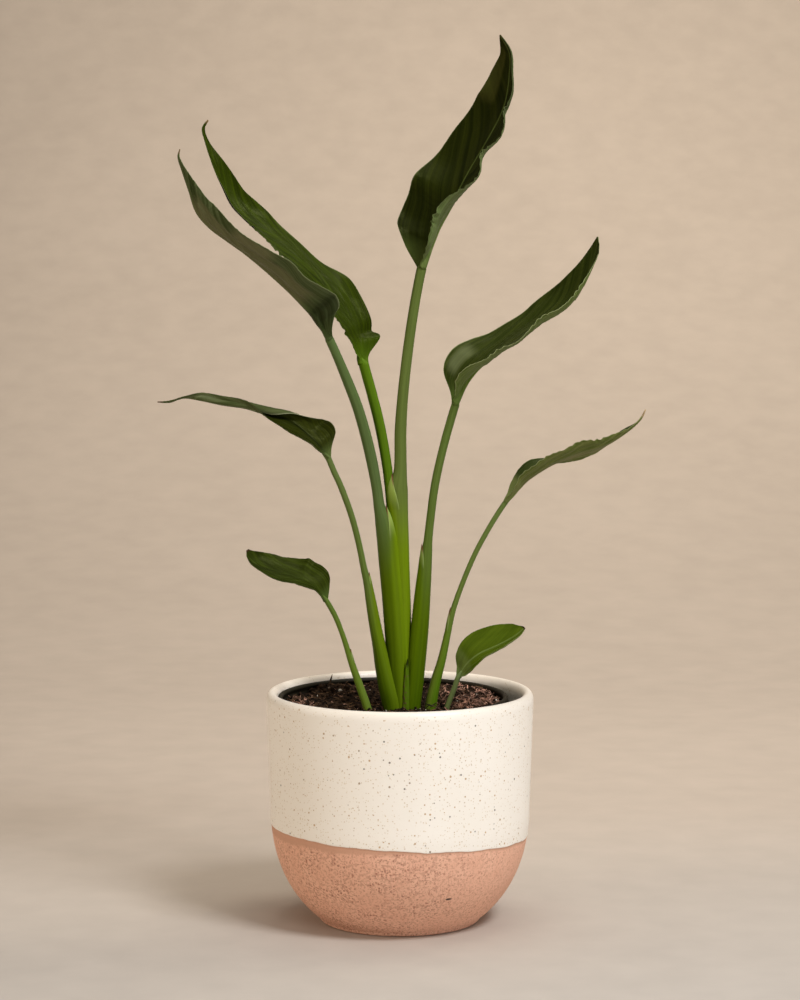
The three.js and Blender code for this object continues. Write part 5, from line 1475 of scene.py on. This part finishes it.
# %% The eight stalks
# Each stalk: free part, sheath, foot, and the sheath's inner side, paler where its thin edges meet
# and partly painted light on that side.
STALK_TONES = {
    "leaf_1": ("#56632E", "#647A0C", "#647A08", "#647A0C"),
    "leaf_2": ("#4A6410", "#4A6410", "#3E520A", "#4A6410"),
    "leaf_3": ("#4E5E34", "#4B5E06", "#3E5004", "#647A0C"),
    "leaf_4": ("#52622C", "#4A5E06", "#445A04", "#506606"),
    "leaf_5": ("#566434", "#566A10", "#3E5204", "#5E720E"),
    "leaf_6": ("#5A6838", "#5E721E", "#4E6C10", "#627225"),
    "leaf_7": ("#4E602C", "#64782C", "#687E28", "#64782C"),
    "leaf_8": ("#5E7044", "#5E7044", "#6A7846", "#5E7044"),
}
for name in STALKS:
    skin = stalk_skin(name, *STALK_TONES[name])
    body, values = stalk(name)
    make_piece(f"{name}_stem", body, [skin], f"{name}_stalk", values)
    if name in SHEATH_HOODS:
        body, values = hood(name)
        make_piece(f"{name}_sheath_tip", body, [skin], values=values)

# %% [markdown]
# ## The withered bract
#
# A small scale leaf at the front of the clump is drying, with purple-brown spots and a dark tip. It is
# a thin curled sheet with a point, modelled as a shell, because a flat card would show no thickness.

# %% Bract
BRACT_LOW, BRACT_HIGH = (np.array(corner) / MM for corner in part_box("dry_bract"))
# Its foot is this far above the solid's, in the soil. Its middle is here, and it leans by this much.
BRACT_FOOT, BRACT_TOP = BRACT_LOW[2] + 8, BRACT_HIGH[2]
BRACT_X, BRACT_Y = 4.5, -10.4
BRACT_LEAN_X, BRACT_LEAN_Y = 1.0, 0.9
BRACT_HALF_WIDTH, BRACT_CURL, BRACT_THICKNESS = 2.2, 0.45, 0.4
# Width and length of its dry streaks, and spacing of its spots, in mm.
BRACT_STREAK, BRACT_STREAK_LENGTH, BRACT_SPOTS = 1.11, 16.7, 1.3

share = np.linspace(0, 1, 40)[:, None]
across_bract = np.linspace(-1, 1, 13)[None, :]
half_width = BRACT_HALF_WIDTH * np.sin(np.pi * (0.35 + 0.65 * share)) ** 0.7 + 0.12
crumple = 0.15 * waves(40 * share + 6 * across_bract, 9, 61)
bract_x = BRACT_X + BRACT_LEAN_X * share**2 + half_width * across_bract
bract_y = BRACT_Y + BRACT_CURL * across_bract**2 * half_width + BRACT_LEAN_Y * share + crumple
bract_z = BRACT_FOOT + (BRACT_TOP - BRACT_FOOT) * share + 0 * across_bract
bract_sheet = np.stack([bract_x, bract_y, bract_z], -1)

papery, tree, shader, place = start_material("dry_leaf_paper", roughness=0.75, ior=1.45)
stretched = (every(BRACT_STREAK), every(BRACT_STREAK), every(BRACT_STREAK_LENGTH))
streaks = add(tree, "Mapping", {"Vector": place, "Scale": stretched}).outputs[0]
streak = add(tree, "TexNoise", {"Vector": streaks, "Scale": 1.0, "Detail": 3.0}).outputs["Fac"]
brown = add(tree, "MixRGB", {0: streak, 1: colour("#4A2E28"), 2: colour("#6E4A40")}).outputs[0]
sideways, _, rising = add(tree, "SeparateXYZ", {0: place}).outputs
spotty = add(tree, "TexNoise", {"Vector": place, "Scale": every(BRACT_SPOTS), "Detail": 1.0}).outputs["Fac"]
to_left = add(tree, "MapRange", {0: sideways, 1: 2.2 * MM, 2: 5.0 * MM, 3: 0.12, 4: -0.1}).outputs[0]
spotty = add(tree, "Math", {0: spotty, 1: to_left}, operation="ADD").outputs[0]
withered = add(tree, "MapRange", {0: spotty, 1: 0.54, 2: 0.60, 3: 0.0, 4: 0.8}).outputs[0]
mixed = add(tree, "MixRGB", {0: withered, 1: colour("#4C6606"), 2: brown}).outputs[0]
tip_from = (BRACT_TOP - 7) * MM
dark = add(tree, "MapRange", {0: rising, 1: tip_from, 2: tip_from + 3 * MM, 3: 0.0, 4: 0.9}).outputs[0]
mixed = add(tree, "MixRGB", {0: dark, 1: mixed, 2: colour("#1E2408")}).outputs[0]
bump = add(tree, "Bump", {"Height": streak, "Strength": 0.5, "Distance": 0.3 * MM}).outputs[0]
fill(tree, shader, {"Base Color": mixed, "Normal": bump, "Specular IOR Level": 0.1})
thin = np.array([0, BRACT_THICKNESS / 2, 0])
bract_body = shell_body(bract_sheet - thin, bract_sheet + thin)
make_piece("withered_bract", bract_body, [papery], "dry_bract")
